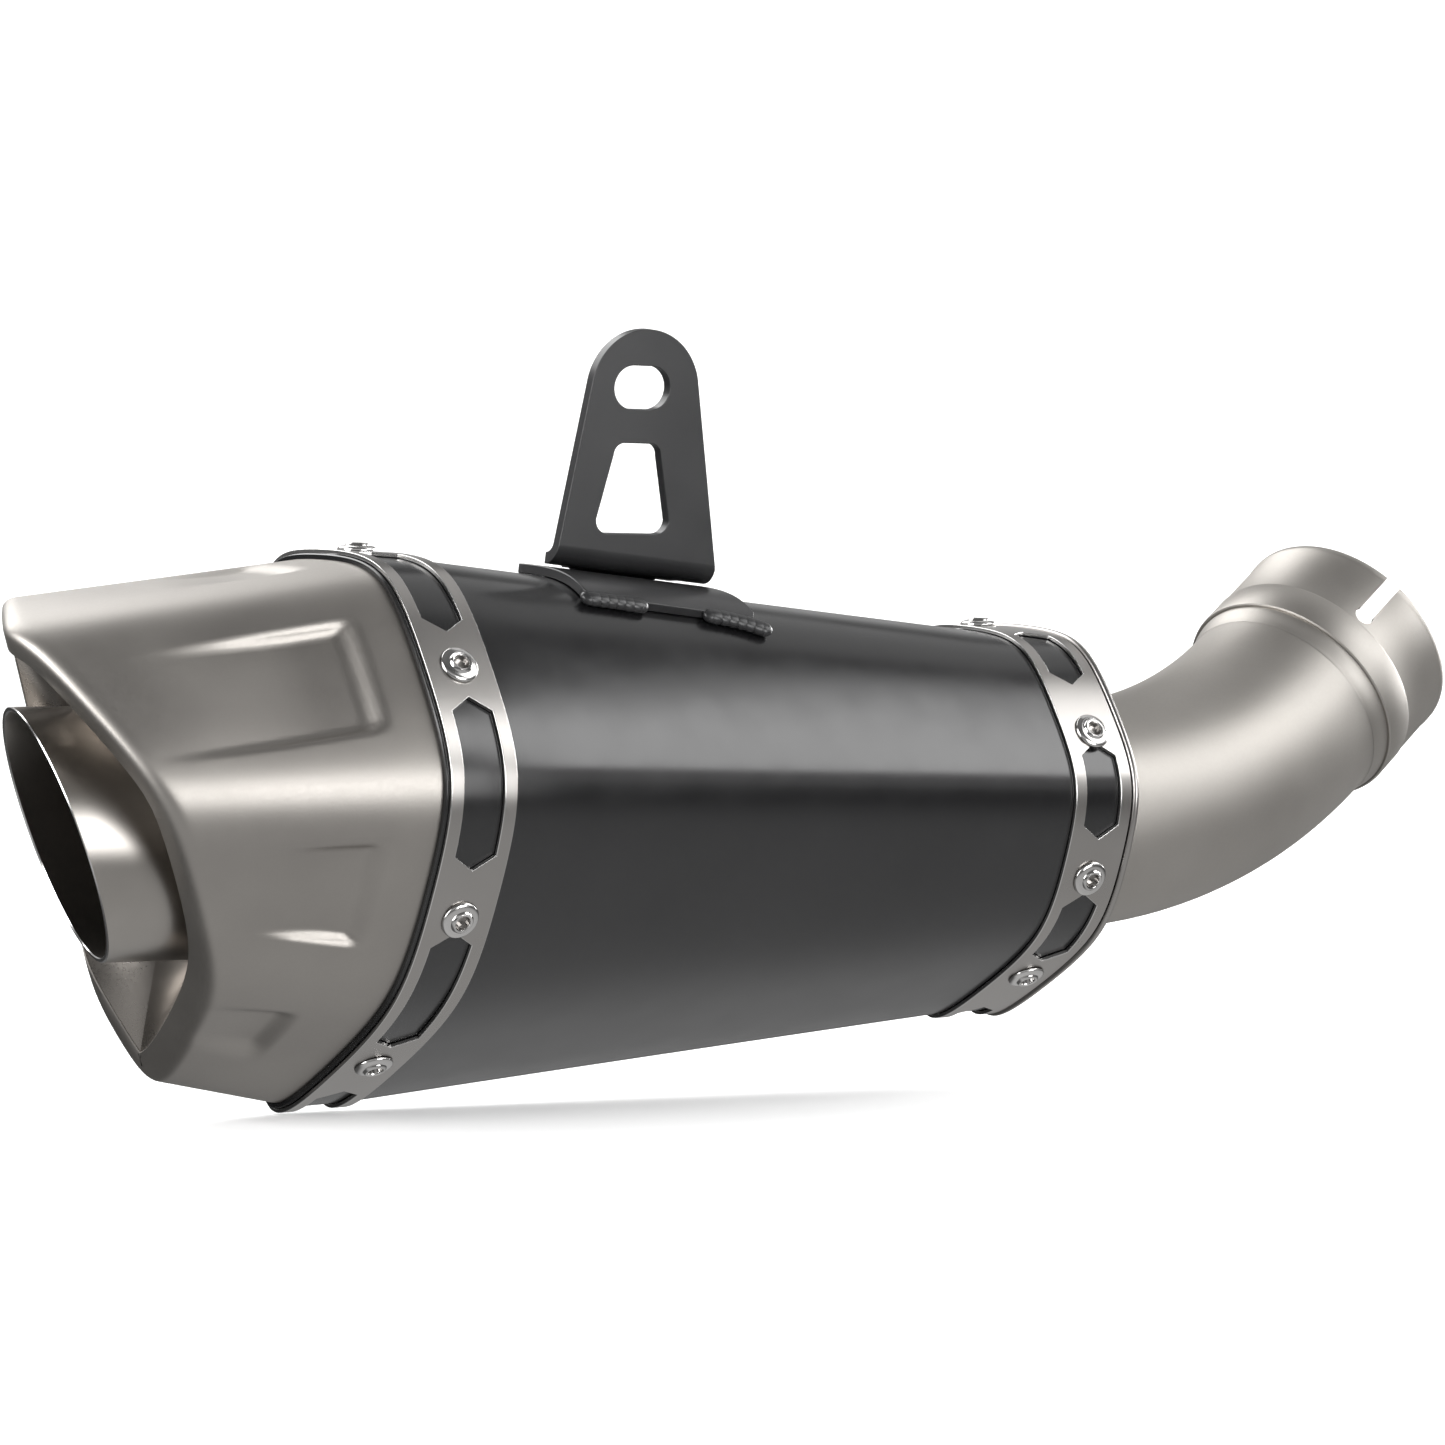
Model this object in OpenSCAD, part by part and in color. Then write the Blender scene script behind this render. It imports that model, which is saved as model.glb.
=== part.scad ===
// Slip-on exhaust muffler for a motorcycle: a tapered six-sided can with a
// slanted outlet cap, a bent inlet pipe with a slotted collar, and a welded hanger.
// X runs from the outlet (-) to the inlet (+), -Y is the outer side, +Z is up.
// The origin is the centre of the inlet collar's mouth.

/* [Can] */
// Distance between the outer edges of the two bands
can_l = 208; // [190:1:230]
// Width of the can's section at the outlet
can_w = 97; // [92:1:104]
// Height of the can's section at the outlet
can_h = 136; // [130:1:144]
// Size of the inlet section, as a share of the outlet section
inlet_share = 0.765; // [0.74:0.005:0.8]
// Sheet thickness of the sleeve
sleeve_t = 1.2; // [0.8:0.1:1.6]
// Sheet thickness of the caps, the cup and the bulkhead
cap_t = 1.2; // [0.8:0.1:1.6]

/* [Bands and rivets] */
// Width of each band
band_w = 18; // [16:1:20]
// Sheet thickness of each band
band_t = 1; // [0.8:0.1:1.4]
// Width of the windows cut in the bands
window_w = 11; // [8:0.5:12]
// Tip-to-tip length of the outlet band's windows
outlet_window_l = 42; // [34:1:44]
// Tip-to-tip length of the inlet band's windows
inlet_window_l = 25; // [20:1:28]
// Diameter of a rivet's shank
rivet_d = 4.8; // [4:0.1:5]
// Diameter of a rivet's head
rivet_head_d = 9.6; // [9:0.1:10.5]

/* [Outlet] */
// Length of the outlet cap up to its foremost corner
cap_l = 92; // [84:1:100]
// Width of the lip folded in around the mouth
lip_w = 7; // [6:0.5:7]
// Depth from the lip to where the cup meets the tube
cup_depth = 13; // [10:1:16]
// Outer diameter of the outlet tube
tube_od = 60; // [54:0.5:60]
// Wall of the outlet tube
tube_t = 1.2; // [1:0.1:1.6]

/* [Inlet] */
// Outer diameter of the inlet pipe
pipe_od = 59; // [58:0.5:59.5]
// Wall of the inlet pipe
pipe_t = 1.5; // [1.2:0.1:2]
// Radius of the pipe's bend, at its centre line
bend_r = 150; // [130:5:170]
// Angle of the pipe's bend
bend_angle = 35.9; // [30:0.1:40]
// Turn of the bend about the can's axis, away from straight up
bend_roll = -17; // [-30:1:0]
// Bore of the collar that slips over the link pipe
collar_id = 60.5; // [60.5:0.1:61]
// Wall of the collar
collar_t = 1.5; // [1.2:0.1:1.8]
// Length of the collar
collar_l = 29.2; // [28:0.2:34]
// Width of the slots in the collar
slot_w = 4.4; // [4:0.1:6]

/* [Hanger] */
// Sheet thickness of the hanger tab
tab_t = 3; // [2.5:0.5:3.5]
// Width of the tab at its bend
tab_w = 47; // [44:1:52]
// Height of the bolt slot's centre above the saddle
tab_h = 46; // [44:1:52]
// Lean of the tab towards the outer side
tab_lean = 8; // [0:1:12]
// Length of the bolt slot
bolt_slot_l = 16; // [13:0.2:17]
// Width of the bolt slot
bolt_slot_w = 10.8; // [10:0.2:12]
// Sheet thickness of the saddle
saddle_t = 2.4; // [2:0.2:3]

/* [Core] */
// Outer diameter of the perforated core
core_od = 53; // [50:0.5:53]
// Wall of the perforated core
core_t = 1; // [0.8:0.1:1.2]
// Thickness of the steel wool around the core
steel_wool_t = 4; // [3:0.5:6]

/* [Hidden] */

$fn = 96;
gap = 0.15;             // running gap between parts that touch
far = 400;              // size of a block used to cut with
corner_steps = 10;      // outline points per corner of the can
sides = 6;

// The can's section, as shares of its width (Y) and height (Z), counted from the
// top inner corner round the outer side to the inner side.
SECTION = [[0.34, 0.507], [-0.299, 0.485], [-0.649, 0.103],
           [-0.366, -0.289], [0.351, -0.554], [0.412, -0.029]];
// The same corners at the inlet band, before the taper makes them smaller.
INLET_SECTION = [[0.342, 0.511], [-0.306, 0.474], [-0.637, 0.115],
                 [-0.428, -0.26], [0.298, -0.531], [0.423, -0.02]];
// How sharp each of those corners is: 1 is soft, 3 is sharp.
SHARPNESS = [2.5, 1.9, 2, 1.8, 2.4, 1.6];
// The same corners where the outlet cap's faces would reach its foremost plane.
TIP = [[0.247, 0.419], [-0.237, 0.36], [-0.479, 0.077],
       [-0.289, -0.199], [0.232, -0.386], [0.397, -0.022]];
// The point that the can tapers towards, seen along X.
TAPER_CENTRE = [-0.113 * can_w, -0.051 * can_h];

// Places around the section: whole numbers are mid-face, halves are corners.
OUTLET_RIVETS = [0, 1, 2, 3.07, 3.96, 5];
INLET_RIVETS = [0, 0.92, 2.1, 3.07, 3.92, 5];
OUTLET_WINDOWS = [0.5, 1.46, 2.52, 3.52, 4.5, 5.5];
INLET_WINDOWS = [0.5, 1.56, 2.56, 3.5, 4.5, 5.5];

sleeve_lip = 0.9;       // the sleeve's edge stands this far outside the outlet band
inlet_lip = 0.3;        // and outside the inlet band
skirt_l = 13;           // the caps reach this far inside the sleeve

// The mouth is cut along two planes that meet just inside its foremost corner.
mouth_corner = [TIP[1][0] * can_w, TIP[1][1] * can_h];
outer_slope = [-0.1, -0.56];    // X per Y and per Z of the outer plane
inner_slope = [0.52, -0.245];   // the same for the inner plane
inner_drop = 5.2;               // how far the inner plane starts beyond the corner
fold_start = 0.94;              // share of the cap's length where its fold begins
fold_w = 3.2;                   // width of the rounded part of the lip

tube_y = 0;
tube_z = 1;
tube_rake = atan(0.385);        // slant of the tube's end, seen from the side
tube_yaw = atan(0.249);         // slant of the tube's end, seen from above
tube_end_x = -0.787 * cap_l;
tube_inner_end = 40;

pipe_x = can_l - 2;
pipe_y = -0.125 * can_w;
pipe_z = 1;
pipe_stub = 14;         // straight pipe inside the can
pipe_lead = 5.4;        // straight pipe between the bend and the collar
socket_x = 10.2;        // the pipe's end inside the collar
mouth_x = pipe_x + bend_r * sin(bend_angle) + (pipe_lead + collar_l) * cos(bend_angle);
mouth_rise = bend_r * (1 - cos(bend_angle)) + (pipe_lead + collar_l) * sin(bend_angle);
INLET_MOUTH = [mouth_x, pipe_y - mouth_rise * sin(bend_roll), pipe_z + mouth_rise * cos(bend_roll)];

tab_x = 81.5;           // middle of the tab's fold, along the can
tab_y = -10.5;          // the tab's outer face at its fold
tab_bend = 2.5;         // inner radius of the fold
tab_top_x = -1;         // centre of the tab's round top, from the middle of the fold
tab_hole_x = -2;        // centre of the bolt slot and the window, likewise
tab_top_r = 15.5;
foot_l = 10;            // from the tab's outer face to the end of its foot
foot_w = 32;
saddle_x = 54.5;
saddle_l = 49.5;
saddle_near = -29;
saddle_far = 4;
saddle_corner = 2;

black = [0.08, 0.08, 0.085];
titanium = [0.55, 0.53, 0.5];
steel = [0.66, 0.66, 0.66];

// ---- shapes ----

function conic(a, p, b, w, t) =
    (pow(1 - t, 2) * a + 2 * w * t * (1 - t) * p + t * t * b)
    / (pow(1 - t, 2) + 2 * w * t * (1 - t) + t * t);

function corner_point(c, i, t) =
    conic((c[(i + sides - 1) % sides] + c[i]) / 2, c[i], (c[i] + c[(i + 1) % sides]) / 2,
          SHARPNESS[i], t);

// The rounded outline through six corners, as a list of [y, z].
function outline(c) =
    [for (i = [0 : sides - 1]) for (k = [0 : corner_steps - 1]) corner_point(c, i, k / corner_steps)];

function scaled_corners(shares) = [for (s = shares) [s[0] * can_w, s[1] * can_h]];

// How large the section is at a place along the can.
function share_at(x) =
    lookup(x, [[0, 1], [band_w, 0.994], [can_l - band_w, inlet_share + 0.005], [can_l, inlet_share]]);

// The six corners of the can's section at a place along the can.
function corners_at(x) =
    let (near = scaled_corners(SECTION), away = scaled_corners(INLET_SECTION), t = x / (can_l - band_w))
    [for (i = [0 : sides - 1])
        TAPER_CENTRE + share_at(x) * (near[i] + t * (away[i] - near[i]) - TAPER_CENTRE)];

function unit(v) = v / norm(v);

function outward(pts, i) =
    let (n = len(pts), d = unit(pts[(i + 1) % n] - pts[(i + n - 1) % n])) [d[1], -d[0]];

// An outline moved out (or in, when d is negative) square to itself.
function grown(pts, d) = [for (i = [0 : len(pts) - 1]) pts[i] + d * outward(pts, i)];

function can_outline(x, d) = grown(outline(corners_at(x)), d);

// A point on the can's skin: u counts the faces round the section.
function skin_point(u, x) = corner_point(corners_at(x), floor(u) % sides, u - floor(u));

function ring(x, pts) = [for (p = pts) [x, p[0], p[1]]];

function can_ring(x, d) = ring(x, can_outline(x, d));

// A circle with one point in the direction of each outline point.
function round_ring(pts, centre, r) =
    [for (p = pts) let (v = unit([p[1], p[2]] - centre)) [p[0], centre[0] + r * v[0], centre[1] + r * v[1]]];

function shifted(pts, dx) = [for (p = pts) p + [dx, 0, 0]];

// A solid whose skin joins each ring to the next, and the last ring to the first.
module ring_solid(rings) {
    n = len(rings[0]);
    m = len(rings);
    points = [for (r = rings) each r];
    faces = [for (j = [0 : m - 1]) for (i = [0 : n - 1])
        let (a = j * n + i, b = j * n + (i + 1) % n,
             c = ((j + 1) % m) * n + (i + 1) % n, d = ((j + 1) % m) * n + i)
        each [[a, d, b], [b, d, c]]];
    polyhedron(points, faces);
}

// Puts its child at a place on the can's skin, with +Z pointing straight out.
module on_skin(u, x, d) {
    along = unit(skin_point(u + 0.01, x) - skin_point(u + sides - 0.01, x));
    n = [along[1], -along[0]];
    p = skin_point(u, x) + d * n;
    translate([x, p[0], p[1]])
        rotate([atan2(-n[0], n[1]), 0, 0])
            children();
}

module in_frame() {
    translate(-INLET_MOUTH)
        children();
}

module rivet_holes(places, x) {
    for (u = places)
        on_skin(u, x, -8)
            cylinder(h = 14, d = rivet_d + 0.1);
}

// ---- can ----

module outer_sleeve() {
    stations = [-sleeve_lip, 0, band_w, can_l - band_w, can_l, can_l + inlet_lip];
    color(black) in_frame() difference() {
        ring_solid([for (x = stations) can_ring(x, 0),
                    for (i = [len(stations) - 1 : -1 : 0]) can_ring(stations[i], -sleeve_t)]);
        rivet_holes(OUTLET_RIVETS, band_w / 2);
        rivet_holes(INLET_RIVETS, can_l - band_w / 2);
    }
}

module band(x0, x1, rivets, windows, window_l) {
    middle = (x0 + x1) / 2;
    tip = window_w / 3;
    color(steel) in_frame() difference() {
        ring_solid([can_ring(x0, gap + band_t), can_ring(x1, gap + band_t),
                    can_ring(x1, gap), can_ring(x0, gap)]);
        rivet_holes(rivets, middle);
        for (u = windows)
            on_skin(u, middle, -window_l / 3)
                linear_extrude(window_l)
                    polygon([[0, -window_l / 2], [window_w / 2, tip - window_l / 2],
                             [window_w / 2, window_l / 2 - tip], [0, window_l / 2],
                             [-window_w / 2, window_l / 2 - tip], [-window_w / 2, tip - window_l / 2]]);
    }
}

module outlet_band() {
    band(0, band_w, OUTLET_RIVETS, OUTLET_WINDOWS, outlet_window_l);
}

module inlet_band() {
    band(can_l - band_w, can_l, INLET_RIVETS, INLET_WINDOWS, inlet_window_l);
}

// A blind rivet: a domed head with a raised ring round its hole, a shank and a tail.
module rivet() {
    head_r = rivet_head_d / 2;
    dome_h = 1.5;
    ring_r = 2.6;
    hole_r = 1.4;
    shank_l = band_t + sleeve_t + cap_t + 1;
    dome = [for (a = [0 : 15 : 75])
        [ring_r + 0.4 + (head_r - ring_r - 0.4) * cos(a), 0.3 + (dome_h - 0.3) * sin(a)]];
    rotate_extrude($fn = 48)
        polygon(concat([[hole_r, -shank_l - 1.5], [rivet_d / 2 + 0.8, -shank_l - 1.2],
                        [rivet_d / 2 + 0.8, -shank_l], [rivet_d / 2, -shank_l],
                        [rivet_d / 2, 0], [head_r, 0]],
                       dome,
                       [[ring_r + 0.4, dome_h], [ring_r, dome_h + 0.4],
                        [hole_r + 0.4, dome_h + 0.4], [hole_r, dome_h]]));
}

module rivets(places, x) {
    color(steel) in_frame()
        for (u = places)
            on_skin(u, x, gap + band_t + 0.05)
                rivet();
}

module outlet_rivets() {
    rivets(OUTLET_RIVETS, band_w / 2);
}

module inlet_rivets() {
    rivets(INLET_RIVETS, can_l - band_w / 2);
}

// ---- outlet ----

function outer_plane(p) = -cap_l + outer_slope * (p - mouth_corner);

function inner_plane(p) = -cap_l - inner_drop + inner_slope * (p - mouth_corner);

// Where along X the mouth's surface is, above a [y, z].
function mouth_at(p) = max(outer_plane(p), inner_plane(p));

// How far a line from the sleeve to the tip gets before it meets a plane.
function share_to(at_base, at_tip) =
    (-sleeve_lip - at_base) / (cap_l - sleeve_lip + at_tip - at_base);

function mouth_share(base, tip) =
    min(share_to(outer_plane(base), outer_plane(tip)), share_to(inner_plane(base), inner_plane(tip)));

// A ring on the cap's faces, a share of the way from the sleeve to the mouth.
function cap_ring(share, d) =
    let (base = can_outline(0, d - sleeve_t - gap),
         tip = grown(outline(scaled_corners(TIP)), d))
    [for (i = [0 : len(base) - 1])
        let (t = share * mouth_share(base[i], tip[i]), p = base[i] + t * (tip[i] - base[i]))
        [-sleeve_lip + t * (sleeve_lip - cap_l), p[0], p[1]]];

// A ring on the lip, a distance in from the cap's folded edge.
function lip_ring(inset, dx) =
    let (edge = [for (p = cap_ring(1, 0)) [p[1], p[2]]], pts = grown(edge, -inset))
    [for (p = pts) [mouth_at(p) + dx, p[0], p[1]]];

function blend(a, p, b, t) =
    [for (i = [0 : len(a) - 1]) pow(1 - t, 2) * a[i] + 2 * t * (1 - t) * p[i] + t * t * b[i]];

// The rounded fold between the cap's faces and its lip.
function fold_rings(d) =
    [for (t = [0 : 0.25 : 1])
        shifted(blend(cap_ring(fold_start, 0), cap_ring(1, 0), lip_ring(fold_w, 0), t), d)];

module outlet_end_cap() {
    inner_fold = fold_rings(cap_t);
    color(titanium) in_frame() difference() {
        ring_solid([can_ring(skirt_l, -sleeve_t - gap), can_ring(0, -sleeve_t - gap), cap_ring(0, 0),
                    for (r = fold_rings(0)) r,
                    lip_ring(lip_w, 0), lip_ring(lip_w, cap_t),
                    for (i = [len(inner_fold) - 1 : -1 : 1]) inner_fold[i],
                    cap_ring(fold_start, -cap_t), cap_ring(0, -cap_t),
                    can_ring(0, -sleeve_t - gap - cap_t), can_ring(skirt_l, -sleeve_t - gap - cap_t)]);
        rivet_holes(OUTLET_RIVETS, band_w / 2);
    }
}

// The circle where the cup meets the tube.
function cup_foot(clearance, dx) =
    let (edge = round_ring(lip_ring(lip_w, 0), [tube_y, tube_z], tube_od / 2 + clearance))
    [for (p = edge) [mouth_at([p[1], p[2]]) + cup_depth + dx, p[1], p[2]]];

module outlet_cup() {
    wall = 0.8 * cap_t;
    color(titanium) in_frame()
        ring_solid([lip_ring(lip_w + gap, 0.4), cup_foot(gap, 0), cup_foot(gap, cap_t),
                    cup_foot(gap + wall, cap_t), lip_ring(lip_w - wall, 0.4 + cap_t)]);
}

// The bead behind the cup, where it is joined to the tube.
module outlet_tube_weld() {
    color(steel) in_frame()
        ring_solid([cup_foot(0.05, cap_t + 2.2), cup_foot(0.05, cap_t + 0.1),
                    cup_foot(1.8, cap_t + 0.1), cup_foot(1.2, cap_t + 1.4)]);
}

module outlet_tube() {
    length = tube_inner_end - tube_end_x + tube_od;
    color(titanium) in_frame() difference() {
        translate([tube_inner_end - length, tube_y, tube_z])
            rotate([0, 90, 0])
                difference() {
                    cylinder(h = length, d = tube_od);
                    translate([0, 0, -1])
                        cylinder(h = length + 2, d = tube_od - 2 * tube_t);
                }
        translate([tube_end_x, tube_y, tube_z])
            rotate([0, -tube_rake, -tube_yaw])
                translate([-far, -far / 2, -far / 2])
                    cube(far);
    }
}

// A flanged plate that closes the packing chamber and holds the outlet tube.
module outlet_bulkhead() {
    x = skirt_l + 3;
    clear = -sleeve_t - gap;
    front = can_ring(x, clear - 3);
    color(steel) in_frame()
        ring_solid([can_ring(x + 9, clear), can_ring(x + 2, clear), front,
                    round_ring(front, [tube_y, tube_z], tube_od / 2 + gap),
                    shifted(round_ring(front, [tube_y, tube_z], tube_od / 2 + gap), cap_t),
                    shifted(can_ring(x, clear - 3 - cap_t), cap_t),
                    can_ring(x + 2 + cap_t, clear - cap_t), can_ring(x + 9, clear - cap_t)]);
}

// ---- inlet ----

// Puts its child on the pipe's start, turned so that the bend goes towards +Z.
module at_pipe() {
    translate([pipe_x, pipe_y, pipe_z])
        rotate([bend_roll, 0, 0])
            children();
}

// Puts its child on the pipe's far end, with +Z along the pipe.
module at_collar() {
    at_pipe()
        translate([bend_r * sin(bend_angle), 0, bend_r * (1 - cos(bend_angle))])
            rotate([0, 90 - bend_angle, 0])
                translate([0, 0, pipe_lead])
                    children();
}

module tube(length, outer_d, inner_d) {
    difference() {
        cylinder(h = length, d = outer_d);
        translate([0, 0, -1])
            cylinder(h = length + 2, d = inner_d);
    }
}

module inlet_end_cap() {
    clear = -sleeve_t - gap;
    face_x = can_l + inlet_lip + gap;
    centre = [pipe_y, pipe_z];
    hole_r = pipe_od / 2 + gap;
    dish = ring(face_x - 4, can_outline(can_l, clear - 9));
    eye = shifted(round_ring(dish, centre, hole_r), -1);
    color(titanium) in_frame() difference() {
        ring_solid([can_ring(can_l - skirt_l, clear), can_ring(can_l, clear), can_ring(face_x, clear),
                    can_ring(face_x, band_t + 0.3), can_ring(face_x + 0.8, band_t + 0.8),
                    can_ring(face_x + 1.6, band_t + 0.3), can_ring(face_x + 1.8, -1),
                    ring(face_x + 0.4, can_outline(can_l, clear - 3)), dish, eye, shifted(eye, -cap_t),
                    ring(face_x - 4 - cap_t, can_outline(can_l, clear - 9)),
                    ring(face_x - 1, can_outline(can_l, clear - 3.6)), can_ring(can_l, clear - cap_t),
                    can_ring(can_l - skirt_l, clear - cap_t)]);
        rivet_holes(INLET_RIVETS, can_l - band_w / 2);
    }
}

// A circle square to the pipe's centre line, part way round the bend and then
// some way along the straight.
function bend_ring(angle, run, r) =
    let (along = [cos(angle), 0, sin(angle)], up = [-sin(angle), 0, cos(angle)],
         middle = [0, 0, bend_r] - bend_r * up + run * along)
    [for (k = [0 : 47]) middle + r * (cos(k * 7.5) * [0, 1, 0] + sin(k * 7.5) * up)];

// The pipe's wall at one radius, from end to end.
function pipe_rings(r) =
    [bend_ring(0, -pipe_stub, r), for (k = [0 : 9]) bend_ring(bend_angle * k / 9, 0, r),
     bend_ring(bend_angle, pipe_lead + socket_x, r)];

module inlet_pipe() {
    bore = pipe_rings(pipe_od / 2 - pipe_t);
    color(titanium) in_frame() at_pipe()
        ring_solid(concat(pipe_rings(pipe_od / 2), [for (k = [len(bore) - 1 : -1 : 0]) bore[k]]));
}

// A triangular bead round a pipe, with its root on the plane z = 0.
module fillet_weld(r, reach, height) {
    rotate_extrude()
        polygon([[r, 0], [r + reach, 0], [r + reach / 3, height / 3], [r, height]]);
}

module inlet_pipe_weld() {
    color(steel) in_frame()
        translate([can_l + inlet_lip + gap - 4.8, pipe_y, pipe_z])
            rotate([0, 90, 0])
                fillet_weld(pipe_od / 2 + 0.05, 2.2, 3);
}

module inlet_collar() {
    outer_r = collar_id / 2 + collar_t;
    edge = 2.6;
    keyhole_r = 2.65;
    slot_end = socket_x + keyhole_r + 0.5;
    slot_roll = -106;
    color(titanium) in_frame() at_collar() difference() {
        rotate_extrude()
            polygon([[pipe_od / 2 + 0.05, 0], [outer_r, 0], [outer_r, socket_x - 0.4],
                     [outer_r - 0.25, socket_x], [outer_r - 0.25, collar_l - edge],
                     [outer_r, collar_l - edge], [outer_r - 0.4, collar_l],
                     [collar_id / 2, collar_l], [collar_id / 2, socket_x],
                     [pipe_od / 2 + 0.05, socket_x]]);
        for (side = [0, 180])
            rotate([0, 0, slot_roll + side]) {
                translate([collar_id / 4, -slot_w / 2, slot_end])
                    cube([outer_r, slot_w, collar_l]);
                translate([collar_id / 4, 0, slot_end])
                    rotate([0, 90, 0])
                        cylinder(h = outer_r, r = keyhole_r, $fn = 48);
            }
    }
}

module collar_weld() {
    color(titanium) in_frame() at_collar()
        mirror([0, 0, 1])
            fillet_weld(pipe_od / 2 + 0.05, collar_t, pipe_lead + 1);
}

// ---- core ----

core_start = 26;
core_end = 166;
wool_start = 70;
wool_end = 158;
ring_x = 32;            // where the core's axis crosses the outlet tube's
ring_l = 8;
core_slope = (pipe_y - tube_y) / (pipe_x - pipe_stub - ring_x);

// Puts its child on the core's axis at a place along the can, with +Z towards the inlet.
module on_core(x) {
    translate([x, tube_y + core_slope * (x - ring_x), tube_z])
        rotate([0, 90, atan(core_slope)])
            children();
}

// A circle round the core's axis.
function core_ring(x, r) =
    round_ring(ring(x, can_outline(can_l, 0)), [tube_y + core_slope * (x - ring_x), tube_z], r);

module perforated_core() {
    rows = 7;
    holes = 6;
    hole_d = 6;
    first_row = 30;
    pitch = (core_end - core_start - first_row - 16) / (rows - 1);
    color(steel) in_frame() on_core(core_start) difference() {
        tube(core_end - core_start, core_od, core_od - 2 * core_t);
        for (row = [0 : rows - 1])
            for (k = [0 : holes / 2 - 1])
                translate([0, 0, first_row + row * pitch])
                    rotate([0, 90, (k + 0.25 + (row % 2) / 2) * 360 / holes])
                        cylinder(h = core_od + 2, d = hole_d, center = true, $fn = 24);
    }
}

// The ring that lets the hot core slide in the outlet tube.
module core_slip_ring() {
    color(steel) in_frame()
        translate([ring_x - ring_l / 2, tube_y, tube_z])
            rotate([0, 90, 0])
                tube(ring_l, tube_od - 2 * tube_t - 2 * gap, core_od + 1);
}

// The cone that carries the gas from the offset inlet pipe into the core.
module inlet_cone() {
    pipe_end = pipe_x - pipe_stub;
    core_r = core_od / 2 + 2 * gap;
    pipe_r = pipe_od / 2 + gap;
    end_ring = ring(pipe_end, can_outline(can_l, 0));
    function pipe_ring(dx, r) = shifted(round_ring(end_ring, [pipe_y, pipe_z], r), dx);
    color(steel) in_frame()
        ring_solid([core_ring(core_end - 6, core_r + core_t), core_ring(core_end, core_r + core_t),
                    pipe_ring(-1, pipe_r + core_t), pipe_ring(6, pipe_r + core_t),
                    pipe_ring(6, pipe_r), pipe_ring(-1, pipe_r),
                    core_ring(core_end, core_r), core_ring(core_end - 6, core_r)]);
}

module steel_wool_wrap() {
    color("darkgray") in_frame() on_core(wool_start)
        tube(wool_end - wool_start, core_od + 2 * steel_wool_t, core_od + 2 * gap);
}

module glass_wool_packing() {
    clear = -sleeve_t - 0.5;
    wrap_r = core_od / 2 + steel_wool_t + 2 * gap;
    color("khaki") in_frame()
        ring_solid([can_ring(wool_start, clear), can_ring(wool_end, clear),
                    core_ring(wool_end, wrap_r), core_ring(wool_start, wrap_r)]);
}

// ---- hanger ----

// Height of the can's skin under the hanger.
function crown_z(x) = skin_point(0.98, x)[1];

crown_angle = atan((crown_z(saddle_x) - crown_z(saddle_x + saddle_l)) / saddle_l);

// Puts its child at the tab's fold: Y from its outer face, Z from its underside.
module at_hanger() {
    translate([tab_x, tab_y, crown_z(tab_x) + gap + saddle_t + 0.05])
        children();
}

function arc(centre, r, from, to) =
    [for (k = [0 : 8]) let (a = from + (to - from) * k / 8) centre + r * [cos(a), sin(a)]];

module hanger_saddle() {
    x0 = saddle_x;
    x1 = saddle_x + saddle_l;
    r = saddle_corner;
    color(black) in_frame() intersection() {
        ring_solid([can_ring(x0 - 8, gap + saddle_t), can_ring(x1 + 8, gap + saddle_t),
                    can_ring(x1 + 8, gap), can_ring(x0 - 8, gap)]);
        linear_extrude(far)
            polygon(concat(arc([x0 + r, saddle_near + r], r, 180, 270),
                           arc([x1 - r, saddle_near + r], r, 270, 360),
                           arc([x1 - r, saddle_far - r], r, 0, 90),
                           arc([x0 + r, saddle_far - r], r, 90, 180)));
    }
}

// The tab's flat outline: X along the can, Y up the plate from the saddle.
module tab_blank() {
    side_slope = atan((tab_w / 2 - tab_top_r) / tab_h);
    polygon(concat([[-tab_w / 2, -10], [tab_w / 2, -10], [tab_w / 2, 1]],
                   arc([tab_top_x, tab_h - 1], tab_top_r, side_slope, 180 - side_slope),
                   [[-tab_w / 2, 1]]));
}

module bolt_slot() {
    run = (bolt_slot_l - bolt_slot_w) / 2;
    polygon(concat(arc([run, 0], bolt_slot_w / 2, -90, 90), arc([-run, 0], bolt_slot_w / 2, 90, 270)));
}

module tab_window() {
    low = 9.7;
    low_w = 10.5;
    low_r = 3.5;
    high = tab_h - 13.8;
    high_w = 6.8;
    high_r = 3;
    polygon(concat(arc([low_r - low_w, low + low_r], low_r, 180, 270),
                   arc([low_w - low_r, low + low_r], low_r, 270, 360),
                   arc([high_w - high_r, high - high_r], high_r, 0, 90),
                   arc([high_r - high_w, high - high_r], high_r, 90, 180)));
}

// The tab seen along the can: a leaning plate, its fold and its foot.
module tab_profile() {
    outer_r = tab_bend + tab_t;
    centre = [outer_r, outer_r];
    square_to = [-cos(tab_lean), -sin(tab_lean)];
    up = [-sin(tab_lean), cos(tab_lean)] * (tab_h + tab_top_r);
    polygon(concat([centre + outer_r * square_to + up],
                   arc(centre, outer_r, 180 + tab_lean, 270),
                   [[foot_l, 0], [foot_l, tab_t]],
                   arc(centre, tab_bend, 270, 180 + tab_lean),
                   [centre + tab_bend * square_to + up]));
}

// The tab seen from above: the foot is narrower than the fold.
module tab_plan() {
    fold = tab_bend + tab_t;
    polygon([[-far, -far], [far, -far], [far, fold - 2], [foot_w / 2, fold + 1], [foot_w / 2, far],
             [-foot_w / 2, far], [-foot_w / 2, fold + 1], [-far, fold - 2]]);
}

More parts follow.
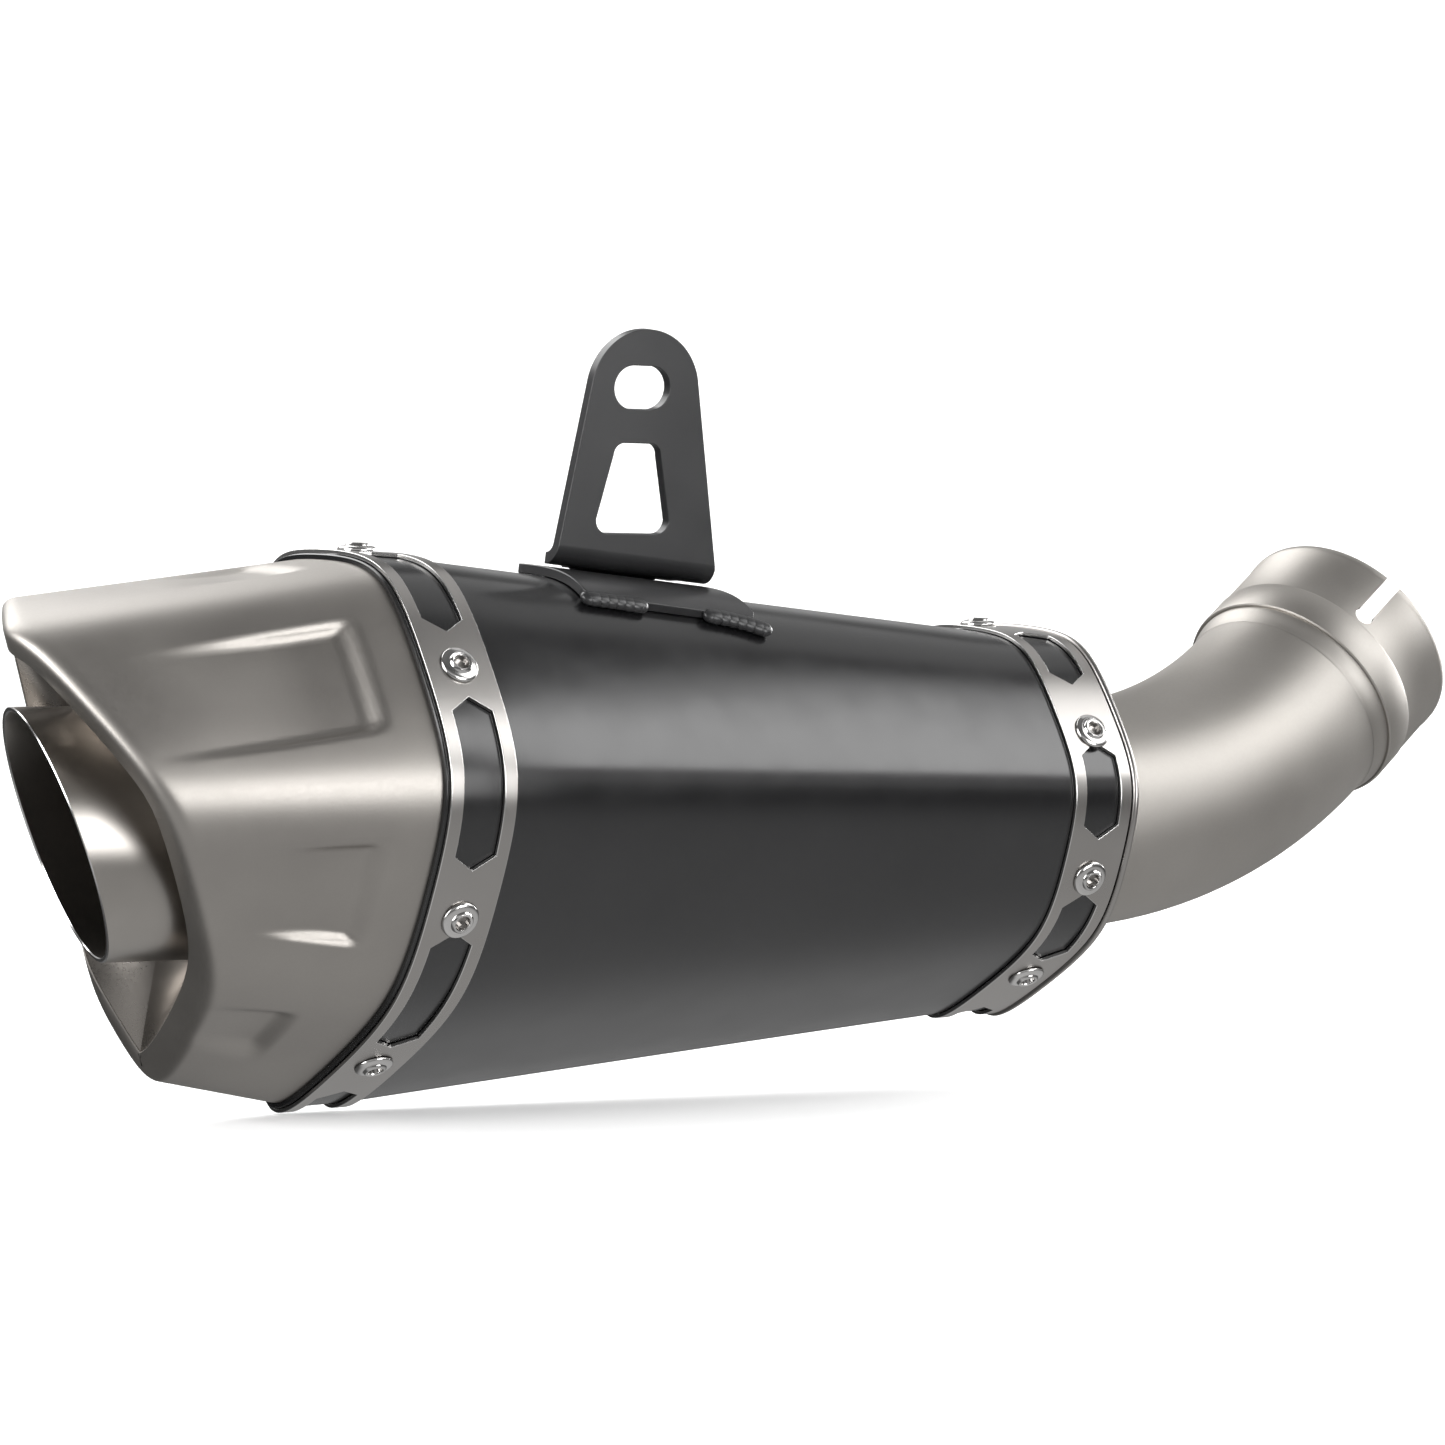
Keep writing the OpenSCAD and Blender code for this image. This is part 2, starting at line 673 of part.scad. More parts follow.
module hanger_tab() {
    color(black) in_frame() at_hanger() intersection() {
        linear_extrude(far, center = true)
            tab_plan();
        rotate([0, crown_angle, 0])
            rotate([90, 0, 90])
                linear_extrude(tab_w + 20, center = true)
                    tab_profile();
        rotate([90 + tab_lean, 0, 0])
            linear_extrude(50, center = true)
                difference() {
                    tab_blank();
                    translate([tab_hole_x, tab_h])
                        bolt_slot();
                    translate([tab_hole_x, 0])
                        tab_window();
                }
    }
}

module bead(length, r) {
    rotate([0, 90, 0])
        cylinder(h = length, r = r, center = true, $fn = 32);
    for (side = [-1, 1])
        translate([side * length / 2, 0, 0])
            sphere(r, $fn = 32);
}

module tab_weld() {
    color(black) in_frame() at_hanger()
        rotate([0, crown_angle, 0])
            translate([0, foot_l + 1.7, 1.2])
                bead(foot_w - 6, 1.5);
}

module saddle_welds() {
    color(black) in_frame()
        for (run = [[62.5, 1.62, 16], [97.5, 1.66, 16]])
            on_skin(run[1], run[0], 1.4)
                rotate([0, crown_angle, 0])
                    bead(run[2], 1.5);
}

outer_sleeve();
outlet_end_cap();
outlet_cup();
outlet_tube();
outlet_tube_weld();
outlet_bulkhead();
outlet_band();
outlet_rivets();
inlet_band();
inlet_rivets();
inlet_end_cap();
inlet_pipe();
inlet_pipe_weld();
inlet_collar();
collar_weld();
inlet_cone();
perforated_core();
core_slip_ring();
steel_wool_wrap();
glass_wool_packing();
hanger_tab();
hanger_saddle();
tab_weld();
saddle_welds();
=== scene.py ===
"""Looks for a slip-on exhaust muffler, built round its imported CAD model.

Shapes are worked out in millimetres in the can's own frame: X from the outlet band's outer edge
towards the inlet, -Y the outer side, +Z up, Y = 0 on the outlet tube's axis. place() turns that
into the row's frame, in metres.
"""
import math

import bmesh
import bpy
from mathutils import Matrix, Vector
from mathutils.geometry import tessellate_polygon

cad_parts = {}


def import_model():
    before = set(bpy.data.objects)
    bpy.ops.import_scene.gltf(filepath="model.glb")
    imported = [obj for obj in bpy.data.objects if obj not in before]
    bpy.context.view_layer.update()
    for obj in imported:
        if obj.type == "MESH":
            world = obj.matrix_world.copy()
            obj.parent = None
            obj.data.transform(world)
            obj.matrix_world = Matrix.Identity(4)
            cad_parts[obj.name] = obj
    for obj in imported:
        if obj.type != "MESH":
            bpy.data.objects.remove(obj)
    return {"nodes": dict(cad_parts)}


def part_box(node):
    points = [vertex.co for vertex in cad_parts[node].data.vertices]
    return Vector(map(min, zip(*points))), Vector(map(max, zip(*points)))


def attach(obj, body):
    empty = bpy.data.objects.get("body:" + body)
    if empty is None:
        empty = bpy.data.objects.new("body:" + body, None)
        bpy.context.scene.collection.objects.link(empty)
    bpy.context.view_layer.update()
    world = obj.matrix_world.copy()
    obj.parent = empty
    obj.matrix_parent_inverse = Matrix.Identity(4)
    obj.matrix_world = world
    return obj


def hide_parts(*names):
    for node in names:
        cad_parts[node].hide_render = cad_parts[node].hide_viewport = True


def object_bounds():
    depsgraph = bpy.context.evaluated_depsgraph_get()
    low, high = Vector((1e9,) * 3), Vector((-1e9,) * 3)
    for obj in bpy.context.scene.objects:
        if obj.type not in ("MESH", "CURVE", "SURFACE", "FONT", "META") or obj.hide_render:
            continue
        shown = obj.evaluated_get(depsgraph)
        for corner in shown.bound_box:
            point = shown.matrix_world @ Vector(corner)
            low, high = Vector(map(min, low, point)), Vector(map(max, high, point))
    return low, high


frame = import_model()
CAD_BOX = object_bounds()
MM = 0.001

# ---- sizes, in millimetres ----

band_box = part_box("outlet_band")
tube_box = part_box("outlet_tube")
TUBE_Z = 1.0
ORIGIN = Vector((band_box[0].x,
                 (tube_box[0].y + tube_box[1].y) / 2,
                 (tube_box[0].z + tube_box[1].z) / 2 - TUBE_Z * MM))

CAN_L = (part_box("inlet_band")[1].x - band_box[0].x) / MM
CAN_W = 97.0
CAN_H = 136.0
BAND_W = (band_box[1].x - band_box[0].x) / MM
BAND_T = 1.0
SLEEVE_T = 1.2
CAP_T = 1.2
GAP = 0.15
SLEEVE_LIP = 0.9
INLET_LIP = 0.3
SKIRT_L = 13.0
INLET_SHARE = 0.765
TUBE_R = (tube_box[1].z - tube_box[0].z) / MM / 2
TUBE_T = 1.2

# The can's section, as shares of its width and height, and how sharp each corner is.
SECTION = [(0.34, 0.507), (-0.299, 0.485), (-0.649, 0.103),
           (-0.366, -0.289), (0.351, -0.554), (0.412, -0.029)]
INLET_SECTION = [(0.342, 0.511), (-0.306, 0.474), (-0.637, 0.115),
                 (-0.428, -0.26), (0.298, -0.531), (0.423, -0.02)]
TIP = [(0.247, 0.419), (-0.237, 0.36), (-0.479, 0.077),
       (-0.289, -0.199), (0.232, -0.386), (0.397, -0.022)]
SHARPNESS = [2.5, 1.9, 2.0, 1.8, 2.4, 1.6]
SIDES = 6
TAPER_CENTRE = (-0.113 * CAN_W, -0.051 * CAN_H)

# Places round the section: whole numbers are mid-face, halves are corners.
OUTLET_RIVETS = [0, 1, 2, 3.07, 3.96, 5]
INLET_RIVETS = [0, 0.92, 2.1, 3.07, 3.92, 5]
OUTLET_WINDOWS = [0.5, 1.46, 2.52, 3.52, 4.5, 5.5]
INLET_WINDOWS = [0.5, 1.56, 2.56, 3.5, 4.5, 5.5]
WINDOW_W = 11.0
OUTLET_WINDOW_L = 42.0
INLET_WINDOW_L = 25.0
RIVET_HEAD_R = 4.8

CAP_L = 92.0
MOUTH_CORNER = (TIP[1][0] * CAN_W, TIP[1][1] * CAN_H)
OUTER_SLOPE = (-0.1, -0.56)
INNER_SLOPE = (0.52, -0.245)
INNER_DROP = 5.2
LIP_W = 7.0
FOLD_START = 0.94
FOLD_W = 3.2
CUP_DEPTH = 13.0
TUBE_CUT = (-0.787 * CAP_L, 0.249, -0.385)

PIPE_R = 29.5
PIPE_T = 1.5
PIPE_START = (CAN_L - 2, -0.125 * CAN_W, 1.0)
PIPE_STUB = 14.0
BEND_R = 150.0
BEND_ANGLE = math.radians(35.9)
BEND_ROLL = math.radians(-17)
PIPE_LEAD = 5.4
SOCKET = 10.2
COLLAR_L = 29.2
COLLAR_BORE_R = 30.25
COLLAR_T = 1.5
SLOT_W = 4.4
KEYHOLE_R = 2.65
SLOT_ROLL = math.radians(-106)

TAB_X = 81.5
TAB_Y = -10.5
TAB_W = 47.0
TAB_T = 3.0
TAB_H = 46.0
TAB_LEAN = math.radians(8)
TAB_BEND = 2.5
TAB_TOP_R = 15.5
TAB_TOP_X = -1.0
TAB_HOLE_X = -2.0
SLOT_L = 16.0
SLOT_H = 10.8
FOOT_L = 10.0
FOOT_W = 32.0
SADDLE_X = 54.5
SADDLE_L = 49.5
SADDLE_NEAR = -29.0
SADDLE_FAR = 4.0
SADDLE_T = 2.4


# ---- the can's outline ----

def mix(a, b, t):
    return a + (b - a) * t


def smooth(t):
    t = min(1.0, max(0.0, t))
    return t * t * (3 - 2 * t)


def table(x, stops):
    """Straight-line look-up in a list of (place, value)."""
    if x <= stops[0][0]:
        return stops[0][1]
    for (x0, v0), (x1, v1) in zip(stops, stops[1:]):
        if x <= x1:
            return mix(v0, v1, (x - x0) / (x1 - x0))
    return stops[-1][1]


def share_at(x):
    return table(x, [(0, 1), (BAND_W, 0.994), (CAN_L - BAND_W, INLET_SHARE + 0.005), (CAN_L, INLET_SHARE)])


def corners_at(x):
    """The six corners of the can's section at a place along it."""
    out = []
    for near, away in zip(SECTION, INLET_SECTION):
        t = x / (CAN_L - BAND_W)
        y = mix(near[0], away[0], t) * CAN_W
        z = mix(near[1], away[1], t) * CAN_H
        s = share_at(x)
        out.append((TAPER_CENTRE[0] + s * (y - TAPER_CENTRE[0]), TAPER_CENTRE[1] + s * (z - TAPER_CENTRE[1])))
    return out


def tip_corners():
    return [(y * CAN_W, z * CAN_H) for y, z in TIP]


def conic(a, p, b, w, t):
    """A point on the rounded corner p between the mid-faces a and b."""
    wa, wp, wb = (1 - t) ** 2, 2 * w * t * (1 - t), t * t
    total = wa + wp + wb
    return ((wa * a[0] + wp * p[0] + wb * b[0]) / total, (wa * a[1] + wp * p[1] + wb * b[1]) / total)


def on_outline(corners, u):
    """A point at a place u round an outline: whole numbers are mid-face."""
    u = u % SIDES
    i = int(u)
    before, here, after = corners[i - 1], corners[i], corners[(i + 1) % SIDES]
    a = ((before[0] + here[0]) / 2, (before[1] + here[1]) / 2)
    b = ((here[0] + after[0]) / 2, (here[1] + after[1]) / 2)
    return conic(a, here, b, SHARPNESS[i], u - i)


def outward(corners, u):
    p = on_outline(corners, u - 0.01)
    q = on_outline(corners, u + 0.01)
    along = Vector((q[0] - p[0], q[1] - p[1])).normalized()
    return Vector((along.y, -along.x))


def offset_outline(corners, u, d):
    p = on_outline(corners, u)
    n = outward(corners, u)
    return p[0] + d * n.x, p[1] + d * n.y


def skin(u, x, d=0.0):
    """A point on the can's skin, moved out by d."""
    y, z = offset_outline(corners_at(x), u, d)
    return Vector((x, y, z))


def u_steps(per_side):
    return [k / per_side for k in range(SIDES * per_side)]


def u_at_y(x, y, low=0.2, high=2.4):
    """Where round the top of the can its skin has a given Y."""
    corners = corners_at(x)
    for _ in range(40):
        middle = (low + high) / 2
        if on_outline(corners, middle)[0] > y:
            low = middle
        else:
            high = middle
    return low


# ---- mesh helpers ----

def place(p):
    return ORIGIN + Vector(p) * MM


def make(name, points, faces, material, sharp=35):
    """A mesh object from points in millimetres, shaded smooth but for its sharp edges."""
    mesh = bpy.data.meshes.new(name)
    mesh.from_pydata([place(p) for p in points], [], faces)
    mesh.update()
    work = bmesh.new()
    work.from_mesh(mesh)
    bmesh.ops.remove_doubles(work, verts=work.verts, dist=0.01 * MM)
    bmesh.ops.recalc_face_normals(work, faces=work.faces)
    work.to_mesh(mesh)
    work.free()
    obj = bpy.data.objects.new(name, mesh)
    bpy.context.scene.collection.objects.link(obj)
    mesh.materials.append(material)
    finish_shading(mesh, sharp)
    return obj


def finish_shading(mesh, sharp):
    for polygon in mesh.polygons:
        polygon.use_smooth = True
    mesh.set_sharp_from_angle(angle=math.radians(sharp))


def loft(name, rings, material, sharp=35):
    """A skin over rings of points, with the last ring joined to the first."""
    n = len(rings[0])
    points = [p for r in rings for p in r]
    faces = []
    for j in range(len(rings)):
        k = (j + 1) % len(rings)
        for i in range(n):
            m = (i + 1) % n
            faces.append((j * n + i, j * n + m, k * n + m, k * n + i))
    return make(name, points, faces, material, sharp)


def add_bevel(obj, width, segments):
    """Rounds an object's edges that turn by more than 50 degrees."""
    bevel = obj.modifiers.new("edge", "BEVEL")
    bevel.width = width * MM
    bevel.segments = segments
    bevel.limit_method = "ANGLE"
    bevel.angle_limit = math.radians(50)
    bevel.harden_normals = True
    return bevel


def flat_sides(obj):
    """Keeps a sheet's large faces flat-shaded next to its rounded edges."""
    weights = obj.modifiers.new("weights", "WEIGHTED_NORMAL")
    weights.weight = 100
    weights.keep_sharp = True


def apply_modifiers(obj):
    """Turns an object's modifiers into its mesh."""
    graph = bpy.context.evaluated_depsgraph_get()
    mesh = bpy.data.meshes.new_from_object(obj.evaluated_get(graph))
    obj.modifiers.clear()
    obj.data = mesh
    finish_shading(mesh, 35)


def cut(obj, cutter, operation="DIFFERENCE"):
    """Cuts obj by cutter, which is then removed."""
    tool = obj.modifiers.new("cut", "BOOLEAN")
    tool.operation = operation
    tool.solver = "EXACT"
    tool.object = cutter
    bpy.context.view_layer.update()
    apply_modifiers(obj)
    bpy.data.objects.remove(cutter)


def prism(name, outline, to_place, near, away, material):
    """A straight prism: outline is a list of 2D points, to_place maps (a, b, depth) to a place."""
    n = len(outline)
    points = [to_place(a, b, near) for a, b in outline] + [to_place(a, b, away) for a, b in outline]
    faces = [(i, (i + 1) % n, n + (i + 1) % n, n + i) for i in range(n)]
    flat = [Vector((a, b, 0)) for a, b in outline]
    for a, b, c in tessellate_polygon([flat]):
        faces.append((a, b, c))
        faces.append((n + a, n + b, n + c))
    return make(name, points, faces, material)


def arc(centre, r, start, end, steps=16):
    """Points on an arc, angles in degrees."""
    out = []
    for k in range(steps + 1):
        a = math.radians(mix(start, end, k / steps))
        out.append((centre[0] + r * math.cos(a), centre[1] + r * math.sin(a)))
    return out


def finished(obj, *nodes, slot):
    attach(obj, "root")
    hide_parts(*nodes)
    return obj


# ---- materials ----

class Shader:
    """A small helper that builds one node material."""

    def __init__(self, name):
        self.material = bpy.data.materials.new(name)
        self.material.use_nodes = True
        self.tree = self.material.node_tree
        self.surface = self.tree.nodes["Principled BSDF"]
        self.place = self.tree.nodes.new("ShaderNodeNewGeometry").outputs["Position"]

    def node(self, kind, **inputs):
        made = self.tree.nodes.new(kind)
        for key, value in inputs.items():
            self.feed(made.inputs[key.replace("_", " ")], value)
        return made

    def feed(self, socket, value):
        if isinstance(value, bpy.types.NodeSocket):
            self.tree.links.new(value, socket)
        else:
            socket.default_value = value

    def scaled(self, factors):
        node = self.tree.nodes.new("ShaderNodeVectorMath")
        node.operation = "MULTIPLY"
        self.feed(node.inputs[0], self.place)
        node.inputs[1].default_value = factors
        return node.outputs[0]

    def noise(self, scale, detail=3.0, stretch=(1, 1, 1)):
        node = self.node("ShaderNodeTexNoise", Vector=self.scaled(stretch), Scale=scale, Detail=detail)
        return node.outputs["Fac"]

    def ranged(self, value, low, high, start=0.3, end=0.7):
        node = self.node("ShaderNodeMapRange", Value=value)
        node.inputs["From Min"].default_value = start
        node.inputs["From Max"].default_value = end
        node.inputs["To Min"].default_value = low
        node.inputs["To Max"].default_value = high
        return node.outputs[0]

    def tint(self, value, first, second):
        node = self.tree.nodes.new("ShaderNodeMix")
        node.data_type = "RGBA"
        self.feed(node.inputs[0], value)
        node.inputs[6].default_value = (*first, 1)
        node.inputs[7].default_value = (*second, 1)
        return node.outputs[2]

    def bump(self, height, distance, strength=1.0, under=None):
        node = self.node("ShaderNodeBump", Height=height, Distance=distance * MM, Strength=strength)
        if under is not None:
            self.feed(node.inputs["Normal"], under)
        return node.outputs[0]

    def set(self, **inputs):
        for key, value in inputs.items():
            self.feed(self.surface.inputs[key.replace("_", " ")], value)


def metal(name, dark, light, rough, grain=1400.0, bump=0.02, cloud=28.0, speckle=0.02):
    """Bare metal: cloudy colour, uneven roughness and a fine grain."""
    s = Shader(name)
    patches = s.noise(cloud, 4.0)
    fine = s.noise(grain, 2.0)
    s.set(Metallic=1.0, Base_Color=s.tint(s.ranged(patches, 0, 1), dark, light))
    cloudy = s.ranged(patches, rough[0], rough[1])
    speckled = s.ranged(fine, -speckle, speckle, 0.35, 0.65)
    total = s.tree.nodes.new("ShaderNodeMath")
    total.operation = "ADD"
    s.feed(total.inputs[0], cloudy)
    s.feed(total.inputs[1], speckled)
    s.set(Roughness=total.outputs[0])
    s.set(Normal=s.bump(fine, bump))
    return s.material


def coated(name, dark, light, rough, grain, bump, shine=0.5):
    """A black coat on metal: slight mottling, orange peel and uneven gloss."""
    s = Shader(name)
    patches = s.noise(35.0, 4.0)
    peel = s.noise(grain, 2.0)
    s.set(Metallic=0.0, Base_Color=s.tint(s.ranged(patches, 0, 1), dark, light))
    s.set(Roughness=s.ranged(s.noise(90.0, 3.0), rough[0], rough[1]))
    s.set(Specular_IOR_Level=shine)
    s.set(Normal=s.bump(peel, bump))
    return s.material


def fibre(name, dark, light, metallic, scale):
    """A mat of tangled fibres."""
    s = Shader(name)
    strands = s.noise(scale, 8.0, (1, 1, 0.25))
    s.set(Metallic=metallic, Roughness=0.75, Base_Color=s.tint(s.ranged(strands, 0, 1), dark, light))
    s.set(Normal=s.bump(strands, 0.6))
    return s.material


SLEEVE = coated("sleeve_black", (0.0045, 0.0045, 0.005), (0.007, 0.007, 0.0075),
                (0.20, 0.25), 900, 0.002, 0.8)
HANGER = coated("hanger_black", (0.014, 0.014, 0.015), (0.022, 0.022, 0.023), (0.28, 0.36), 700, 0.001)
TITANIUM = metal("titanium_blasted", (0.35, 0.33, 0.31), (0.40, 0.38, 0.355), (0.42, 0.48), 1500, 0.006)
CUP = metal("titanium_cup", (0.34, 0.315, 0.29), (0.42, 0.39, 0.36), (0.26, 0.33), 1500, 0.002)
TUBE = metal("titanium_tube", (0.38, 0.36, 0.335), (0.46, 0.435, 0.41),
             (0.28, 0.33), 1500, 0.001, speckle=0.01)
PIPE = metal("titanium_pipe", (0.39, 0.37, 0.345), (0.44, 0.42, 0.395), (0.46, 0.52), 1300, 0.002)
STEEL = metal("stainless_satin", (0.38, 0.365, 0.35), (0.42, 0.405, 0.39),
              (0.27, 0.30), 1200, 0.0005, speckle=0.004)
EDGE = metal("stainless_edge", (0.66, 0.65, 0.64), (0.76, 0.75, 0.74), (0.16, 0.22), 900, 0.0015)
RIVET = metal("rivet_polished", (0.60, 0.59, 0.58), (0.68, 0.67, 0.66),
              (0.14, 0.18), 900, 0.0003, speckle=0.004)
WELD = metal("weld_straw", (0.36, 0.29, 0.20), (0.48, 0.44, 0.38), (0.28, 0.40), 500, 0.05, cloud=120.0)
INNER = metal("inner_steel", (0.25, 0.24, 0.23), (0.38, 0.37, 0.36), (0.35, 0.5), 600, 0.03)
STEEL_WOOL = fibre("steel_wool", (0.10, 0.10, 0.10), (0.42, 0.41, 0.40), 0.9, 600)
GLASS_WOOL = fibre("glass_wool", (0.55, 0.48, 0.30), (0.85, 0.80, 0.62), 0.0, 400)


# ---- can ----

def outer_sleeve():
    edge = 0.25
    start, end = -SLEEVE_LIP, CAN_L + INLET_LIP
    xs = [start + edge, 0, BAND_W / 2, BAND_W]
    xs += [mix(BAND_W, CAN_L - BAND_W, k / 12) for k in range(1, 12)]
    xs += [CAN_L - BAND_W, CAN_L - BAND_W / 2, CAN_L, end - edge]
    us = u_steps(36)
    rings = [[skin(u, start, -edge) for u in us]]
    rings += [[skin(u, x) for u in us] for x in xs]
    rings += [[skin(u, end, -edge) for u in us], [skin(u, end, -SLEEVE_T) for u in us]]
    rings += [[skin(u, x, -SLEEVE_T) for u in us] for x in (CAN_L / 2, start)]
    return finished(loft("sleeve", rings, SLEEVE), "outer_sleeve", slot="sleeve")


def arc_lengths(x, per_side=120):
    """The length round the can's skin at each u, and the whole of it."""
    us = [k / per_side for k in range(SIDES * per_side + 1)]
    lengths = [0.0]
    last = skin(us[0], x)
    for u in us[1:]:
        here = skin(u, x)
        lengths.append(lengths[-1] + (here - last).length)
        last = here
    return us, lengths


def lookup(value, keys, values):
    low, high = 0, len(keys) - 1
    while high - low > 1:
        middle = (low + high) // 2
        if keys[middle] <= value:
            low = middle
        else:
            high = middle
    return mix(values[low], values[high], (value - keys[low]) / (keys[high] - keys[low]))


def apart(a, b, whole):
    """The shorter way from b to a round a loop of the given length."""
    return (a - b + whole / 2) % whole - whole / 2


def band(name, x0, windows, window_l, node):
    """A sheet band with pointed windows: columns round the can, each split where a window is."""
    x1 = x0 + BAND_W
    middle = (x0 + x1) / 2
    us, lengths = arc_lengths(middle)
    whole = lengths[-1]
    tip = WINDOW_W / 3
    centres = [lookup(u, us, lengths) for u in windows]
    stops = set(round(whole * k / 300, 4) for k in range(300))
    marks = (-window_l / 2, tip - window_l / 2, window_l / 2 - tip, window_l / 2)
    for c in centres:
        stops = {s for s in stops if all(abs(apart(s, c + m, whole)) > 0.5 for m in marks)}
    for c in centres:
        stops |= {round((c + m) % whole, 4) for m in marks}
    stops = sorted(stops)

    def half_opening(s):
        away = min(abs(apart(s, c, whole)) for c in centres)
        return table(away, [(window_l / 2 - tip, WINDOW_W / 2), (window_l / 2, 0.0)])

    points = []
    faces = []
    n = len(stops)
    for s in stops:
        u = lookup(s, lengths, us)
        w = half_opening(s)
        for x in (x0, middle - w, middle + w, x1):
            points.append(skin(u, x, GAP))
    for j in range(n):
        k = (j + 1) % n
        for a in (0, 2):
            faces.append((j * 4 + a, j * 4 + a + 1, k * 4 + a + 1, k * 4 + a))
    obj = make(name, points, faces, STEEL, sharp=50)
    obj.data.materials.append(EDGE)
    # the sheet's thickness goes outwards, whichever way the faces came out
    outside = (obj.data.polygons[0].normal.dot(obj.data.polygons[0].center
               - place((middle, TAPER_CENTRE[0], TAPER_CENTRE[1]))) > 0)
    sheet = obj.modifiers.new("sheet", "SOLIDIFY")
    sheet.thickness = BAND_T * MM
    sheet.offset = 1.0 if outside else -1.0
    sheet.material_offset_rim = 1
    edge = add_bevel(obj, 0.2, 2)
    edge.material = 1
    flat_sides(obj)
    return finished(obj, node, slot="stainless")


def rivet_set(name, places, x, node):
    """Blind rivets: a domed flange, a raised ring and a deep hole."""
    ring_r, hole_r, dome = 2.8, 1.8, 1.5
    profile = [(0.0, -2.6), (hole_r - 0.2, -2.6), (hole_r, -2.2), (hole_r, dome - 0.1),
               (hole_r + 0.15, dome + 0.25), (hole_r + 0.45, dome + 0.4), (ring_r - 0.35, dome + 0.4),
               (ring_r, dome + 0.1), (ring_r + 0.15, dome - 0.25)]
    dome_r = ring_r + 0.3
    for k in range(9):
        a = math.radians(90 - k * 10)
        profile.append((dome_r + (RIVET_HEAD_R - dome_r) * math.cos(a), 0.3 + (dome - 0.6) * math.sin(a)))
    profile += [(RIVET_HEAD_R, 0.15), (RIVET_HEAD_R - 0.2, 0.0), (2.4, 0.0), (2.4, -4.4), (3.2, -4.6),
                (3.0, -5.2), (0.0, -5.4)]
    turns = 48
    points = []
    faces = []
    for u in places:
        n = outward(corners_at(x), u)
        out = Vector((0, n.x, n.y))
        side = Vector((1, 0, 0))
        across = out.cross(side)
        foot = skin(u, x, GAP + BAND_T + 0.05)
        base = len(points)
        for t in range(turns):
            a = 2 * math.pi * t / turns
            for r, h in profile:
                points.append(foot + out * h + (side * math.cos(a) + across * math.sin(a)) * r)
        m = len(profile)
        for t in range(turns):
            v = (t + 1) % turns
            for k in range(m - 1):
                faces.append((base + t * m + k, base + v * m + k, base + v * m + k + 1, base + t * m + k + 1))
    return finished(make(name, points, faces, RIVET, sharp=40), node, slot="rivet")


# ---- outlet ----

def outer_plane(p):
    return -CAP_L + OUTER_SLOPE[0] * (p[0] - MOUTH_CORNER[0]) + OUTER_SLOPE[1] * (p[1] - MOUTH_CORNER[1])


def inner_plane(p):
    return (-CAP_L - INNER_DROP + INNER_SLOPE[0] * (p[0] - MOUTH_CORNER[0])
            + INNER_SLOPE[1] * (p[1] - MOUTH_CORNER[1]))


def mouth_at(p, soft=2.0):
    """The mouth's surface, with the valley between its two planes slightly rounded."""
    a, b = outer_plane(p), inner_plane(p)
    return (a + b + math.sqrt((a - b) ** 2 + soft ** 2)) / 2


def cap_line(u, d):
    """One line of the cap, from the sleeve to its foremost plane, and the share where the mouth cuts it."""
    base = offset_outline(corners_at(0), u, d - SLEEVE_T - GAP)
    tip = offset_outline(tip_corners(), u, d)
    low, high = 0.0, 1.3
    for _ in range(30):
        t = (low + high) / 2
        p = (mix(base[0], tip[0], t), mix(base[1], tip[1], t))
        if -SLEEVE_LIP + t * (SLEEVE_LIP - CAP_L) > mouth_at(p):
            low = t
        else:
            high = t
    return base, tip, low


def cap_point(line, share):
    base, tip, cut_share = line
    t = share * cut_share
    return Vector((-SLEEVE_LIP + t * (SLEEVE_LIP - CAP_L), mix(base[0], tip[0], t), mix(base[1], tip[1], t)))


# Pressed panels: u at the band end (low, high), u at the tip end, X where it starts and fades, depth.
PANELS = [((1.77, 2.18), (1.79, 2.29), -11.0, -70.0, 2.6),
          ((2.84, 3.23), (2.86, 3.20), -11.0, -48.0, 2.6),
          ((3.72, 4.02), (3.74, 4.0), -18.0, -44.0, 1.6),
          ((0.86, 1.16), (0.88, 1.14), -11.0, -48.0, 1.4),
          ((4.80, 5.10), (4.82, 5.08), -11.0, -50.0, 1.4),
          ((5.80, 6.14), (5.82, 6.12), -11.0, -50.0, 1.4)]


def panel_depth(u, x):
    depth = 0.0
    for near, away, x0, x1, deep in PANELS:
        t = (x0 - x) / (x0 - x1)
        low = mix(near[0], away[0], t)
        high = mix(near[1], away[1], t)
        for shift in (0, SIDES):
            inside = smooth((u + shift - low) / 0.06) * smooth((high - u - shift) / 0.06)
            along = smooth((x0 - x) / 6.0) * (1 - smooth((t - 0.25) / 0.75))
            depth = max(depth, deep * inside * along)
    return depth


def lip_ring(edge, inset):
    """Points a distance in from the mouth's edge, on the mouth's surface."""
    n = len(edge)
    ring = []
    for i in range(n):
        p, q = edge[i - 1], edge[(i + 1) % n]
        along = Vector((q.y - p.y, q.z - p.z)).normalized()
        y = edge[i].y - inset * along.y
        z = edge[i].z + inset * along.x
        ring.append(Vector((mouth_at((y, z)), y, z)))
    return ring


def bezier(a, p, b, t):
    return (1 - t) ** 2 * a + 2 * t * (1 - t) * p + t * t * b


def moved(ring, dx):
    return [p + Vector((dx, 0, 0)) for p in ring]


CAP_US = u_steps(56)
CAP_LINES = [cap_line(u, 0) for u in CAP_US]
MOUTH_EDGE = [cap_point(line, 1.0) for line in CAP_LINES]


